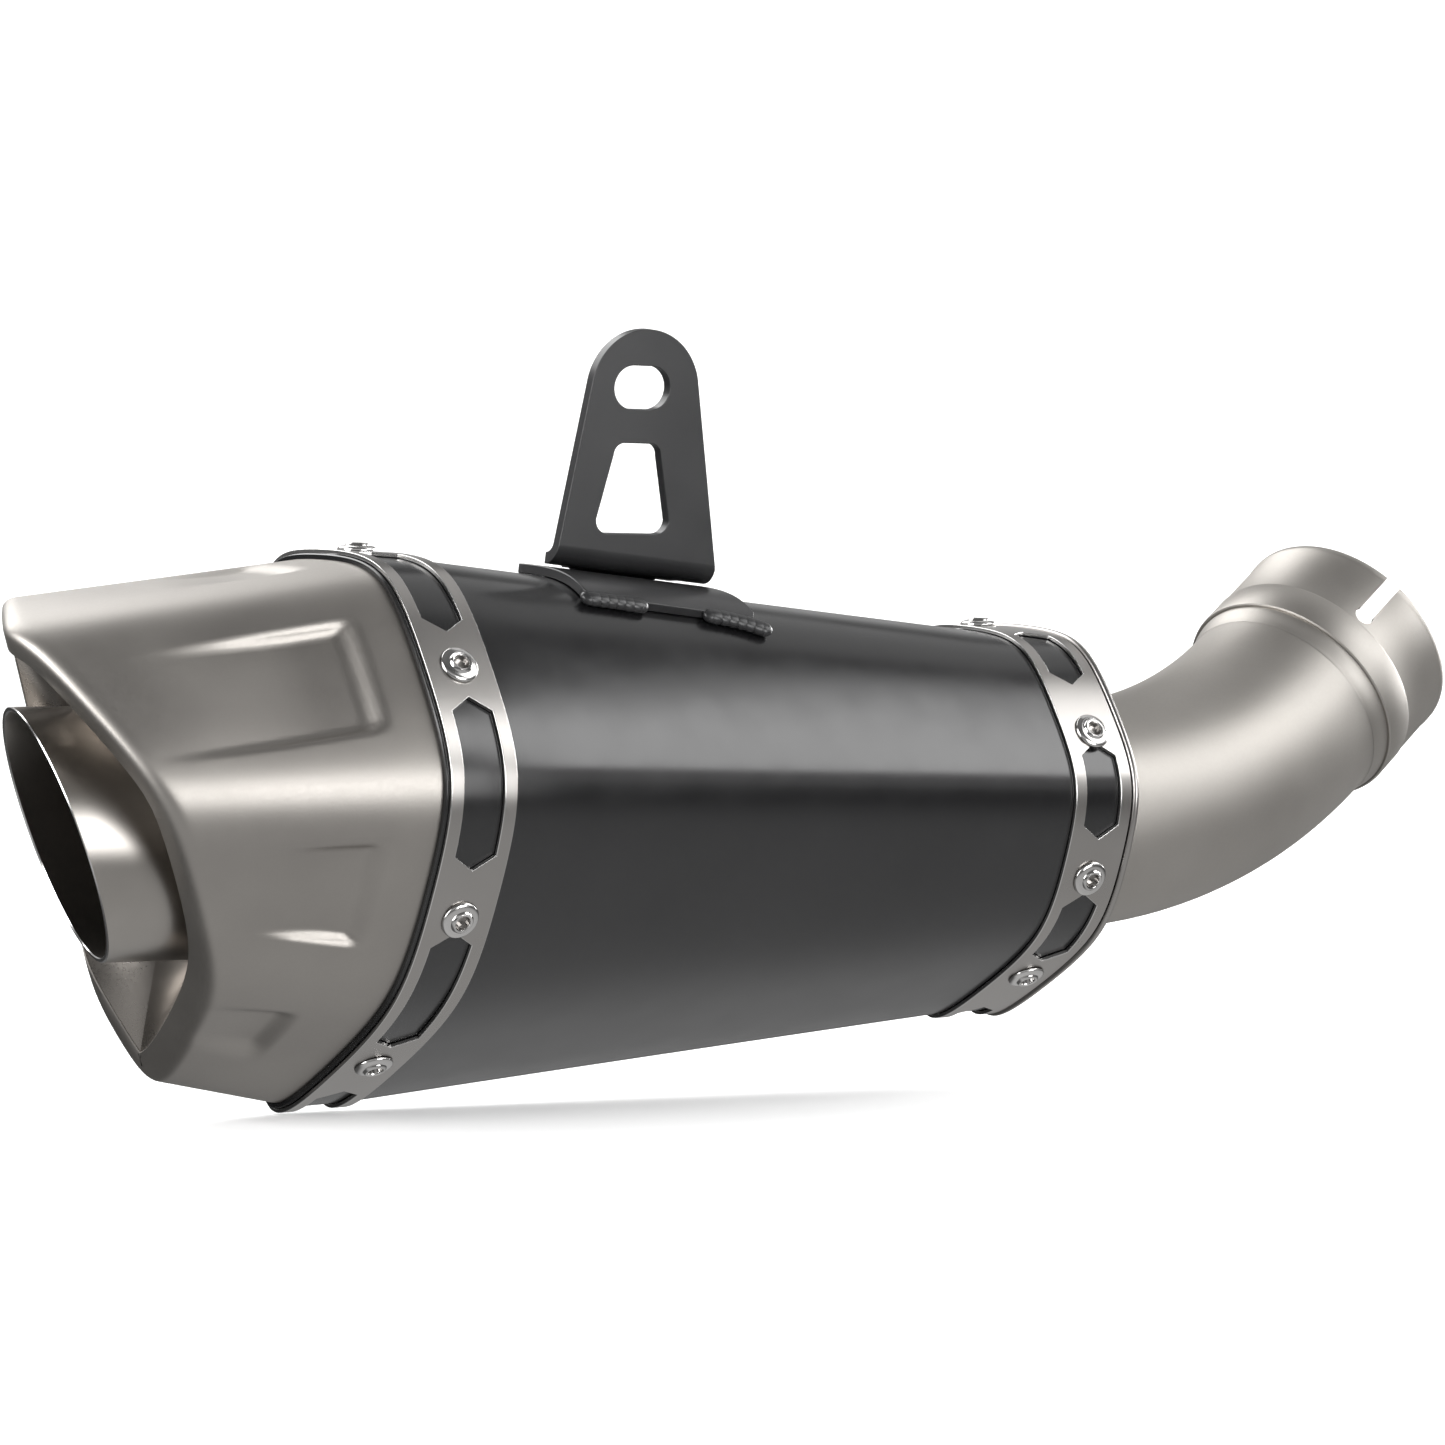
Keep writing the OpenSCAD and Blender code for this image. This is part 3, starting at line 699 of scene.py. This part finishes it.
def cap_face_ring(share, d):
    ring = []
    for u, line in zip(CAP_US, CAP_LINES):
        p = cap_point(line, share)
        n = outward(corners_at(0), u)
        inward = d - panel_depth(u, p.x)
        ring.append(p + Vector((0, n.x, n.y)) * inward)
    return ring


def fold(d):
    start = cap_face_ring(FOLD_START, 0)
    end = lip_ring(MOUTH_EDGE, FOLD_W)
    rings = []
    for k in range(9):
        rings.append(moved([bezier(a, p, b, k / 8) for a, p, b in zip(start, MOUTH_EDGE, end)], d))
    return rings


def outlet_end_cap():
    inside = -SLEEVE_T - GAP
    skirt = [[skin(u, x, inside) for u in CAP_US] for x in (SKIRT_L, 0.0)]
    faces = [cap_face_ring(FOLD_START * k / 60, 0) for k in range(60)]
    backs = [cap_face_ring(FOLD_START * k / 12, -CAP_T) for k in range(12, -1, -1)]
    back_skirt = [[skin(u, x, inside - CAP_T) for u in CAP_US] for x in (0.0, SKIRT_L)]
    lip = lip_ring(MOUTH_EDGE, LIP_W - 0.3)
    lip_end = moved(lip_ring(MOUTH_EDGE, LIP_W), 0.3)
    rings = skirt + faces + fold(0) + [lip, lip_end, moved(lip_ring(MOUTH_EDGE, LIP_W), CAP_T)]
    rings += fold(CAP_T)[:0:-2] + backs + back_skirt
    return finished(loft("end_cap", rings, TITANIUM, 45), "outlet_end_cap", slot="titanium")


def cup_foot(clearance, dx):
    """Points round the outlet tube, one for each point of the lip."""
    ring = []
    for p in lip_ring(MOUTH_EDGE, LIP_W):
        v = Vector((p.y, p.z - TUBE_Z)).normalized()
        y, z = v.x * (TUBE_R + clearance), TUBE_Z + v.y * (TUBE_R + clearance)
        ring.append(Vector((mouth_at((y, z)) + CUP_DEPTH + dx, y, z)))
    return ring


def outlet_cup():
    """The dished plate between the lip and the tube, rolled over at its outer edge."""
    wall = 0.8 * CAP_T
    top = moved(lip_ring(MOUTH_EDGE, LIP_W + GAP), 0.5)
    foot = cup_foot(GAP, 0)
    front = []
    for k in range(13):
        t = k / 12
        ring = []
        for a, b in zip(top, foot):
            knee = Vector((a.x + 0.55 * (b.x - a.x), mix(a.y, b.y, 0.28), mix(a.z, b.z, 0.28)))
            ring.append(bezier(a, knee, b, t))
        front.append(ring)
    back = [moved(cup_foot(GAP, 0), CAP_T), cup_foot(GAP + wall, CAP_T),
            moved(lip_ring(MOUTH_EDGE, LIP_W - wall), 0.4 + CAP_T)]
    return finished(loft("mouth_cup", front + back, CUP, 40), "outlet_cup", slot="titanium")


def outlet_tube():
    turns = 144
    inner_end = (tube_box[1].x - ORIGIN.x) / MM

    def circle(r, bevel):
        ring = []
        for k in range(turns):
            a = 2 * math.pi * k / turns
            y, z = r * math.cos(a), r * math.sin(a)
            x = TUBE_CUT[0] + TUBE_CUT[1] * y + TUBE_CUT[2] * z + bevel
            ring.append(Vector((x, y, TUBE_Z + z)))
        return ring

    def level(r, x):
        return [Vector((x, p.y, p.z)) for p in circle(r, 0)]

    bore = TUBE_R - TUBE_T
    rings = [level(TUBE_R, inner_end), level(TUBE_R, -20), circle(TUBE_R, 0.3), circle(TUBE_R - 0.25, 0),
             circle(bore + 0.25, 0), circle(bore, 0.3), level(bore, -20), level(bore, inner_end)]
    obj = loft("exit_tube", rings, TUBE, 30)
    obj.data.materials.append(EDGE)
    for polygon in obj.data.polygons:
        # the narrow faces round the cut are the bright edge
        centre = (polygon.center - ORIGIN) / MM
        r = math.hypot(centre.y, centre.z - TUBE_Z)
        if bore + 0.02 < r < TUBE_R - 0.02 and centre.x < 0:
            polygon.material_index = 1
    return finished(obj, "outlet_tube", slot="pipe")


def ripple_ring(name, rings_of, material, node, slot):
    """A weld bead round a pipe: rings_of(t, swell) gives its section at each angle."""
    turns = 240
    sections = []
    for k in range(turns):
        a = 2 * math.pi * k / turns
        swell = 1 + 0.12 * math.sin(a * 44) + 0.05 * math.sin(a * 17 + 1)
        sections.append(rings_of(a, swell))
    return finished(loft(name, sections, material, 60), node, slot=slot)


# ---- inlet ----

def pipe_frame(angle, run):
    """Centre, direction and the two square directions on the pipe's centre line."""
    along = Vector((math.cos(angle), 0, math.sin(angle)))
    up = Vector((-math.sin(angle), 0, math.cos(angle)))
    centre = Vector((0, 0, BEND_R)) - BEND_R * up + run * along
    turn = Matrix.Rotation(BEND_ROLL, 3, "X")
    start = Vector(PIPE_START)
    return start + turn @ centre, turn @ along, turn @ Vector((0, 1, 0)), turn @ up


def pipe_circle(angle, run, r, turns=144):
    centre, _, side, up = pipe_frame(angle, run)
    return [centre + r * (math.cos(a) * side + math.sin(a) * up)
            for a in (2 * math.pi * k / turns for k in range(turns))]


def inlet_pipe():
    def wall(r):
        rings = [pipe_circle(0, -PIPE_STUB, r), pipe_circle(0, -PIPE_STUB / 2, r)]
        rings += [pipe_circle(BEND_ANGLE * k / 32, 0, r) for k in range(33)]
        return rings + [pipe_circle(BEND_ANGLE, PIPE_LEAD + SOCKET, r)]

    rings = wall(PIPE_R) + wall(PIPE_R - PIPE_T)[::-1]
    return finished(loft("link_bend", rings, PIPE, 40), "inlet_pipe", slot="pipe")


def along_collar(profile, turns=192):
    """Rings from a list of (radius, distance along the collar)."""
    return [pipe_circle(BEND_ANGLE, PIPE_LEAD + z, r, turns) for r, z in profile]


def inlet_collar():
    outer = COLLAR_BORE_R + COLLAR_T
    seam = 2.6
    profile = [(PIPE_R + 0.05, 0.1), (outer - 0.5, 0.0), (outer - 0.12, 0.25), (outer, 0.7),
               (outer, SOCKET - 0.7), (outer - 0.12, SOCKET - 0.4), (outer - 0.25, SOCKET - 0.2),
               (outer - 0.25, SOCKET),
               (outer - 0.25, COLLAR_L - seam), (outer - 0.05, COLLAR_L - seam + 0.3),
               (outer - 0.05, COLLAR_L - 0.5), (outer - 0.3, COLLAR_L - 0.1), (outer - 0.6, COLLAR_L),
               (COLLAR_BORE_R + 0.3, COLLAR_L), (COLLAR_BORE_R, COLLAR_L - 0.3),
               (COLLAR_BORE_R, SOCKET), (PIPE_R + 0.05, SOCKET)]
    obj = loft("collar", along_collar(profile), PIPE, 30)
    centre, axis, side, up = pipe_frame(BEND_ANGLE, PIPE_LEAD)
    key = SOCKET + KEYHOLE_R + 0.5
    half = math.degrees(math.asin(SLOT_W / 2 / KEYHOLE_R))
    outline = [(SLOT_W / 2, COLLAR_L + 3), (-SLOT_W / 2, COLLAR_L + 3)]
    outline += arc((0, key), KEYHOLE_R, 90 + half, 450 - half, 32)
    # the collar's own turn: CAD measures its slot from the bend's plane
    for flip in (0, math.pi):
        a = SLOT_ROLL + flip
        radial = -up * math.cos(a) + side * math.sin(a)
        across = axis.cross(radial)
        cutter = prism("slot_cutter", outline,
                       lambda p, q, d: centre + across * p + axis * q + radial * d, 20.0, 40.0, PIPE)
        cut(obj, cutter)
    return finished(obj, "inlet_collar", slot="pipe")


def collar_weld():
    """The rounded step from the pipe up to the collar."""
    profile = [(PIPE_R + 0.05, 0.05), (PIPE_R + 0.05, -5.4)]
    for k in range(9):
        t = k / 8
        profile.append((PIPE_R + 0.1 + (COLLAR_T - 0.35) * smooth(t), -5.3 + 5.3 * t))
    return finished(loft("collar_step", along_collar(profile), PIPE, 50), "collar_weld", slot="weld")


def inlet_end_cap():
    inside = -SLEEVE_T - GAP
    face = CAN_L + INLET_LIP + GAP
    us = u_steps(36)
    centre = Vector((0, PIPE_START[1], PIPE_START[2]))

    def outline(x, d):
        return [Vector((x, *skin(u, CAN_L, d).yz)) for u in us]

    def eye(x, r):
        ring = []
        for p in outline(x, inside - 9):
            v = Vector((0, p.y, p.z)) - centre
            ring.append(Vector((x, 0, 0)) + centre + v.normalized() * r)
        return ring

    dish = outline(face - 4, inside - 9)
    rings = [[skin(u, CAN_L - SKIRT_L, inside) for u in us], [skin(u, CAN_L, inside) for u in us],
             outline(face, inside), outline(face, BAND_T - 0.1)]
    for k in range(9):
        a = math.radians(-90 + 22.5 * k)
        rings.append(outline(face + 0.9 + 0.9 * math.sin(a), BAND_T - 0.1 + 0.9 * math.cos(a)))
    rings += [outline(face + 1.8, -1.0), outline(face + 1.4, inside - 1.2), outline(face + 0.4, inside - 2.6),
              outline(face - 1.6, inside - 5.0), outline(face - 3.2, inside - 7.2), dish,
              eye(face - 5, PIPE_R + GAP), eye(face - 5 - CAP_T, PIPE_R + GAP),
              outline(face - 4 - CAP_T, inside - 9), outline(face - 1, inside - 3.6),
              [skin(u, CAN_L, inside - CAP_T) for u in us],
              [skin(u, CAN_L - SKIRT_L, inside - CAP_T) for u in us]]
    return finished(loft("inlet_cap", rings, STEEL, 40), "inlet_end_cap", slot="stainless")


def weld_round_pipe(name, x, r, reach, height, node):
    """A rippled bead where a plate meets a pipe that runs along the can."""
    centre = Vector((x, PIPE_START[1], PIPE_START[2]))

    def section(a, swell):
        out = Vector((0, math.cos(a), math.sin(a)))
        ring = []
        for k in range(9):
            t = math.radians(90 * k / 8)
            rise = Vector((height * swell * math.sin(t), 0, 0))
            ring.append(centre + out * (r + reach * swell * math.cos(t)) + rise)
        return ring + [centre + out * r]

    return ripple_ring(name, section, WELD, node, "weld")


def cup_weld():
    """The bead behind the cup, following its slanted foot."""
    inner, outer = cup_foot(0.05, CAP_T + 0.1), cup_foot(1.7, CAP_T + 0.1)
    rise = cup_foot(0.05, CAP_T + 2.2)
    crest = cup_foot(1.2, CAP_T + 1.4)
    rings = []
    for k in range(7):
        t = k / 6
        rings.append([bezier(a, p, b, t) for a, p, b in zip(outer, crest, rise)])
    return finished(loft("cup_weld", rings + [inner], WELD, 60), "outlet_tube_weld", slot="weld")


# ---- hanger ----

def crown_z(x):
    return skin(0.98, x).z


CROWN_ANGLE = math.atan((crown_z(SADDLE_X) - crown_z(SADDLE_X + SADDLE_L)) / SADDLE_L)
HANGER_FOOT = Vector((TAB_X, TAB_Y, crown_z(TAB_X) + GAP + SADDLE_T + 0.05))


def hanger_saddle():
    """A plate that follows the can's skin between two edges of fixed Y."""
    columns, rows = 40, 28
    x1 = SADDLE_X + SADDLE_L
    points = []
    faces = []
    corner = 2.0
    for i in range(columns + 1):
        x = mix(SADDLE_X, x1, i / columns)
        end = min(x - SADDLE_X, x1 - x, corner)
        trim = corner - math.sqrt(max(0.0, corner ** 2 - (corner - end) ** 2))
        near = u_at_y(x, SADDLE_NEAR + trim)
        away = u_at_y(x, SADDLE_FAR - trim)
        for j in range(rows + 1):
            points.append(skin(mix(near, away, j / rows), x, GAP))
    for i in range(columns):
        for j in range(rows):
            a = i * (rows + 1) + j
            faces.append((a, a + 1, a + rows + 2, a + rows + 1))
    obj = make("saddle_plate", points, faces, HANGER)
    up = sum((p.normal.z for p in obj.data.polygons)) > 0
    sheet = obj.modifiers.new("sheet", "SOLIDIFY")
    sheet.thickness = SADDLE_T * MM
    sheet.offset = 1.0 if up else -1.0
    add_bevel(obj, 0.35, 3)
    flat_sides(obj)
    return finished(obj, "hanger_saddle", slot="hanger")


def on_tab(x, h, depth):
    """A place on the tab: h up the leaning plate, depth square to it (+Y is the inner face)."""
    return HANGER_FOOT + Vector((x,
                                 depth * math.cos(TAB_LEAN) - h * math.sin(TAB_LEAN),
                                 depth * math.sin(TAB_LEAN) + h * math.cos(TAB_LEAN)))


def hanger_tab():
    outer_r = TAB_BEND + TAB_T
    lean = math.degrees(TAB_LEAN)
    square_to = (-math.cos(TAB_LEAN), -math.sin(TAB_LEAN))
    reach = TAB_H + TAB_TOP_R + 2
    up = (-math.sin(TAB_LEAN) * reach, math.cos(TAB_LEAN) * reach)
    profile = [(outer_r * (1 + square_to[0]) + up[0], outer_r * (1 + square_to[1]) + up[1])]
    profile += arc((outer_r, outer_r), outer_r, 180 + lean, 270)
    profile += [(FOOT_L, 0.0), (FOOT_L, TAB_T)]
    profile += arc((outer_r, outer_r), TAB_BEND, 270, 180 + lean)
    profile += [(outer_r + TAB_BEND * square_to[0] + up[0], outer_r + TAB_BEND * square_to[1] + up[1])]
    slope = Matrix.Rotation(CROWN_ANGLE, 3, "Y")
    obj = prism("hanger_plate", profile, lambda y, z, x: HANGER_FOOT + slope @ Vector((x, y, z)),
                -TAB_W / 2 - 8, TAB_W / 2 + 8, HANGER)

    side = math.degrees(math.atan((TAB_W / 2 - TAB_TOP_R) / TAB_H))
    blank = [(-TAB_W / 2, -10), (TAB_W / 2, -10), (TAB_W / 2, 1)]
    blank += arc((TAB_TOP_X, TAB_H - 1), TAB_TOP_R, side, 180 - side, 48)
    blank += [(-TAB_W / 2, 1)]
    cut(obj, prism("blank", blank, on_tab, -25, 25, HANGER), "INTERSECT")

    plan = [(-60, -60), (60, -60), (60, outer_r - 2), (FOOT_W / 2, outer_r + 1), (FOOT_W / 2, 60),
            (-FOOT_W / 2, 60), (-FOOT_W / 2, outer_r + 1), (-60, outer_r - 2)]
    from_above = prism("plan", plan, lambda x, y, z: HANGER_FOOT + Vector((x, y, z)), -90, 90, HANGER)
    cut(obj, from_above, "INTERSECT")

    run = (SLOT_L - SLOT_H) / 2
    slot = arc((TAB_HOLE_X + run, TAB_H), SLOT_H / 2, -90, 90, 24)
    slot += arc((TAB_HOLE_X - run, TAB_H), SLOT_H / 2, 90, 270, 24)
    cut(obj, prism("slot", slot, on_tab, -25, 25, HANGER))

    low, low_w, low_r = 9.7, 10.5, 3.5
    high, high_w, high_r = TAB_H - 13.8, 6.8, 3.0
    window = arc((TAB_HOLE_X + low_r - low_w, low + low_r), low_r, 180, 270, 12)
    window += arc((TAB_HOLE_X + low_w - low_r, low + low_r), low_r, 270, 360, 12)
    window += arc((TAB_HOLE_X + high_w - high_r, high - high_r), high_r, 0, 90, 12)
    window += arc((TAB_HOLE_X + high_r - high_w, high - high_r), high_r, 90, 180, 12)
    cut(obj, prism("window", window, on_tab, -25, 25, HANGER))
    add_bevel(obj, 0.35, 3)
    flat_sides(obj)
    return finished(obj, "hanger_tab", slot="hanger")


def bead(path, r, pitch=2.4):
    """A weld bead along a path: overlapping scallops, with rounded ends."""
    points = []
    faces = []
    total = sum((b[0] - a[0]).length for a, b in zip(path, path[1:]))
    steps = int(total / 0.25)
    turns = 20
    rings = []
    for k in range(steps + 1):
        s = total * k / steps
        left = s
        i = 0
        while i < len(path) - 2 and left > (path[i + 1][0] - path[i][0]).length:
            left -= (path[i + 1][0] - path[i][0]).length
            i += 1
        a, b = path[i], path[i + 1]
        t = left / (b[0] - a[0]).length
        centre = a[0].lerp(b[0], t)
        out = a[1].lerp(b[1], t).normalized()
        along = (b[0] - a[0]).normalized()
        side = out.cross(along).normalized()
        end = min(s, total - s) / (1.4 * r)
        cap = math.sqrt(max(0.0, 1 - (1 - min(1.0, end)) ** 2))
        phase = (s / pitch) % 1.0
        size = r * max(cap, 0.05) * (0.90 + 0.13 * math.sqrt(max(0.0, 1 - (2 * phase - 1) ** 2)))
        ring = []
        for j in range(turns):
            w = 2 * math.pi * j / turns
            # each scallop's front curls forward in the middle, as a puddle freezes
            lead = along * (0.55 * size * max(0.0, math.sin(w)) * (phase - 0.5))
            ring.append(centre + lead + (side * math.cos(w) * 1.15 + out * math.sin(w) * 0.85) * size)
        rings.append(ring)
    n = turns
    for ring in rings:
        points += ring
    for k in range(len(rings) - 1):
        for j in range(n):
            m = (j + 1) % n
            faces.append((k * n + j, k * n + m, (k + 1) * n + m, (k + 1) * n + j))
    faces.append(tuple(range(n)))
    faces.append(tuple((len(rings) - 1) * n + j for j in range(n)))
    return points, faces


def joined(name, beads, material, node, slot):
    points = []
    faces = []
    for some_points, some_faces in beads:
        base = len(points)
        points += some_points
        faces += [tuple(base + v for v in f) for f in some_faces]
    return finished(make(name, points, faces, material, 60), node, slot=slot)


def skin_path(x0, u0, x1, u1, d, steps=8):
    path = []
    for k in range(steps + 1):
        t = k / steps
        x, u = mix(x0, x1, t), mix(u0, u1, t * t)
        n = outward(corners_at(x), u)
        path.append((skin(u, x, d), Vector((0, n.x, n.y))))
    return path


def saddle_welds():
    runs = [skin_path(53.0, 1.605, 72.0, 1.625, 1.5), skin_path(88.0, 1.64, 107.0, 1.73, 1.5)]
    joined("saddle_beads", [bead(run, 1.9) for run in runs], HANGER, "saddle_welds", "hanger")


def tab_weld():
    slope = Matrix.Rotation(CROWN_ANGLE, 3, "Y")
    half = (FOOT_W - 6) / 2
    path = [(HANGER_FOOT + slope @ Vector((x, FOOT_L + 1.4, 1.0)), Vector((0, 0.6, 0.8)))
            for x in (-half, 0, half)]
    joined("tab_bead", [bead(path, 1.6)], HANGER, "tab_weld", "hanger")


# ---- the inside ----

def dress(node, material, slot):
    """Keeps a CAD node's shape and gives it a worked material."""
    obj = frame["nodes"][node]
    obj.data.materials.clear()
    obj.data.materials.append(material)


outer_sleeve()
band("outlet_strap", 0.0, OUTLET_WINDOWS, OUTLET_WINDOW_L, "outlet_band")
band("inlet_strap", CAN_L - BAND_W, INLET_WINDOWS, INLET_WINDOW_L, "inlet_band")
rivet_set("outlet_blind_rivets", OUTLET_RIVETS, BAND_W / 2, "outlet_rivets")
rivet_set("inlet_blind_rivets", INLET_RIVETS, CAN_L - BAND_W / 2, "inlet_rivets")
outlet_end_cap()
outlet_cup()
outlet_tube()
cup_weld()
inlet_pipe()
inlet_collar()
collar_weld()
inlet_end_cap()
weld_round_pipe("cap_weld", CAN_L + INLET_LIP + GAP - 4.8, PIPE_R + 0.05, 2.2, 2.6, "inlet_pipe_weld")
hanger_saddle()
hanger_tab()
saddle_welds()
tab_weld()
dress("outlet_bulkhead", INNER, "inner_steel")
dress("inlet_cone", INNER, "inner_steel")
dress("perforated_core", INNER, "inner_steel")
dress("core_slip_ring", STEEL_WOOL, "steel_wool")
dress("steel_wool_wrap", STEEL_WOOL, "steel_wool")
dress("glass_wool_packing", GLASS_WOOL, "glass_wool")


# ---- studio ----

def backdrop():
    """A pale floor that sweeps up behind the object."""
    low = CAD_BOX[0][2] - 0.0005
    reach, radius, height = 3.0, 1.2, 4.0
    profile = [(-reach, low)]
    profile += [(1.4 + radius * math.sin(math.radians(a)), low + radius * (1 - math.cos(math.radians(a))))
                for a in range(0, 91, 6)]
    profile += [(1.4 + radius, low + height)]
    points = []
    for d, z in profile:
        for w in (-5.0, 5.0):
            points.append(BACK_FLAT * -d + RIGHT * w + Vector((CENTRE.x, CENTRE.y, z)))
    faces = [(2 * k, 2 * k + 1, 2 * k + 3, 2 * k + 2) for k in range(len(profile) - 1)]
    mesh = bpy.data.meshes.new("floor")
    mesh.from_pydata(points, [], faces)
    for polygon in mesh.polygons:
        polygon.use_smooth = True
    obj = bpy.data.objects.new("floor", mesh)
    bpy.context.scene.collection.objects.link(obj)
    s = Shader("floor_pale")
    cloudy = s.ranged(s.noise(3.0), 0, 1)
    s.set(Base_Color=s.tint(cloudy, (0.86, 0.86, 0.86), (0.88, 0.88, 0.88)), Roughness=0.9)
    s.set(Emission_Color=(1, 1, 1, 1), Emission_Strength=0.35)
    mesh.materials.append(s.material)
    obj.visible_glossy = False


def area_light(name, offset, size, power, aim=(0, 0, 0)):
    """A soft box; offset is (right, up, towards the camera) from the object's middle, in metres."""
    light = bpy.data.lights.new(name, "AREA")
    light.shape = "RECTANGLE"
    light.size, light.size_y = size
    light.energy = power
    obj = bpy.data.objects.new(name, light)
    obj.location = CENTRE + RIGHT * offset[0] + Vector((0, 0, offset[1])) + BACK_FLAT * offset[2]
    target = CENTRE + RIGHT * aim[0] + Vector((0, 0, aim[1])) + BACK_FLAT * aim[2]
    obj.rotation_euler = (target - obj.location).to_track_quat("-Z", "Y").to_euler()
    obj.visible_camera = False
    bpy.context.scene.collection.objects.link(obj)


def world(stops, dark_side, dark_share):
    """A soft surround: stops give its brightness by height (-1 below, 1 above), with one darker side."""
    made = bpy.data.worlds.new("studio")
    bpy.context.scene.world = made
    made.use_nodes = True
    tree = made.node_tree
    direction = tree.nodes.new("ShaderNodeTexCoord").outputs["Generated"]
    split = tree.nodes.new("ShaderNodeSeparateXYZ")
    tree.links.new(direction, split.inputs[0])
    height = tree.nodes.new("ShaderNodeMapRange")
    height.inputs["From Min"].default_value = -1.0
    height.inputs["From Max"].default_value = 1.0
    tree.links.new(split.outputs[2], height.inputs["Value"])
    ramp = tree.nodes.new("ShaderNodeValToRGB")
    tree.links.new(height.outputs[0], ramp.inputs[0])
    elements = ramp.color_ramp.elements
    for element, (z, value) in zip(elements, (stops[0], stops[-1])):
        element.position = (z + 1) / 2
        element.color = (value, value, value, 1)
    for z, value in stops[1:-1]:
        elements.new((z + 1) / 2).color = (value, value, value, 1)
    facing = tree.nodes.new("ShaderNodeVectorMath")
    facing.operation = "DOT_PRODUCT"
    tree.links.new(direction, facing.inputs[0])
    facing.inputs[1].default_value = Vector(dark_side).normalized()
    shade = tree.nodes.new("ShaderNodeMapRange")
    shade.interpolation_type = "SMOOTHSTEP"
    shade.inputs["From Min"].default_value = 0.55
    shade.inputs["From Max"].default_value = 0.9
    shade.inputs["To Min"].default_value = WORLD_STRENGTH
    shade.inputs["To Max"].default_value = WORLD_STRENGTH * dark_share
    tree.links.new(facing.outputs["Value"], shade.inputs["Value"])
    tree.links.new(ramp.outputs[0], tree.nodes["Background"].inputs["Color"])
    tree.links.new(shade.outputs[0], tree.nodes["Background"].inputs["Strength"])


AZIMUTH, ELEVATION = math.radians(-33.5), math.radians(0.6)
WORLD_STRENGTH = 2.0
LENS = 120.332          # focal length in millimetres on a 36 mm sensor
BACK = Vector((math.sin(AZIMUTH) * math.cos(ELEVATION), -math.cos(AZIMUTH) * math.cos(ELEVATION),
               math.sin(ELEVATION)))
BACK_FLAT = Vector((BACK.x, BACK.y, 0)).normalized()
RIGHT = Vector((-BACK_FLAT.y, BACK_FLAT.x, 0))
UP = BACK.cross(RIGHT)
CENTRE = place((70, -5, 10))

camera_data = bpy.data.cameras.new("camera")
camera_data.sensor_width = 36.0
camera_data.lens = LENS
camera = bpy.data.objects.new("camera", camera_data)
bpy.context.scene.collection.objects.link(camera)
camera.matrix_world = Matrix((
    (RIGHT.x, UP.x, BACK.x, 0), (RIGHT.y, UP.y, BACK.y, 0), (RIGHT.z, UP.z, BACK.z, 0), (0, 0, 0, 1)))
camera.location = place((-562.3, -1021.5, 39.0))
bpy.context.scene.camera = camera

backdrop()
world([(-1.0, 0.30), (-0.45, 0.24), (-0.2, 0.05), (0.0, 0.05), (0.1, 0.26), (0.3, 0.28), (0.5, 0.09),
       (0.75, 0.05), (1.0, 0.1)], (-0.4, 0.73, -0.54), 0.2)
area_light("front_box", (1.0, 0.08, 1.0), (0.8, 0.7), 11)
area_light("right_box", (1.35, 0.85, 0.1), (0.9, 0.8), 9)
area_light("left_box", (-1.2, 0.45, 0.9), (1.0, 1.2), 30)
area_light("back_right_box", (1.3, 0.4, -1.2), (1.1, 0.7), 26)
area_light("back_left_box", (-0.7, 1.0, -0.7), (1.2, 0.9), 14)
area_light("top_box", (0.5, 1.1, -0.7), (1.0, 0.8), 1.5)
area_light("back_wash", (0.0, 1.3, -1.3), (3.0, 0.6), 14, aim=(0, 0.6, -2.4))

scene = bpy.context.scene
scene.view_settings.view_transform = "Standard"
scene.view_settings.look = "None"
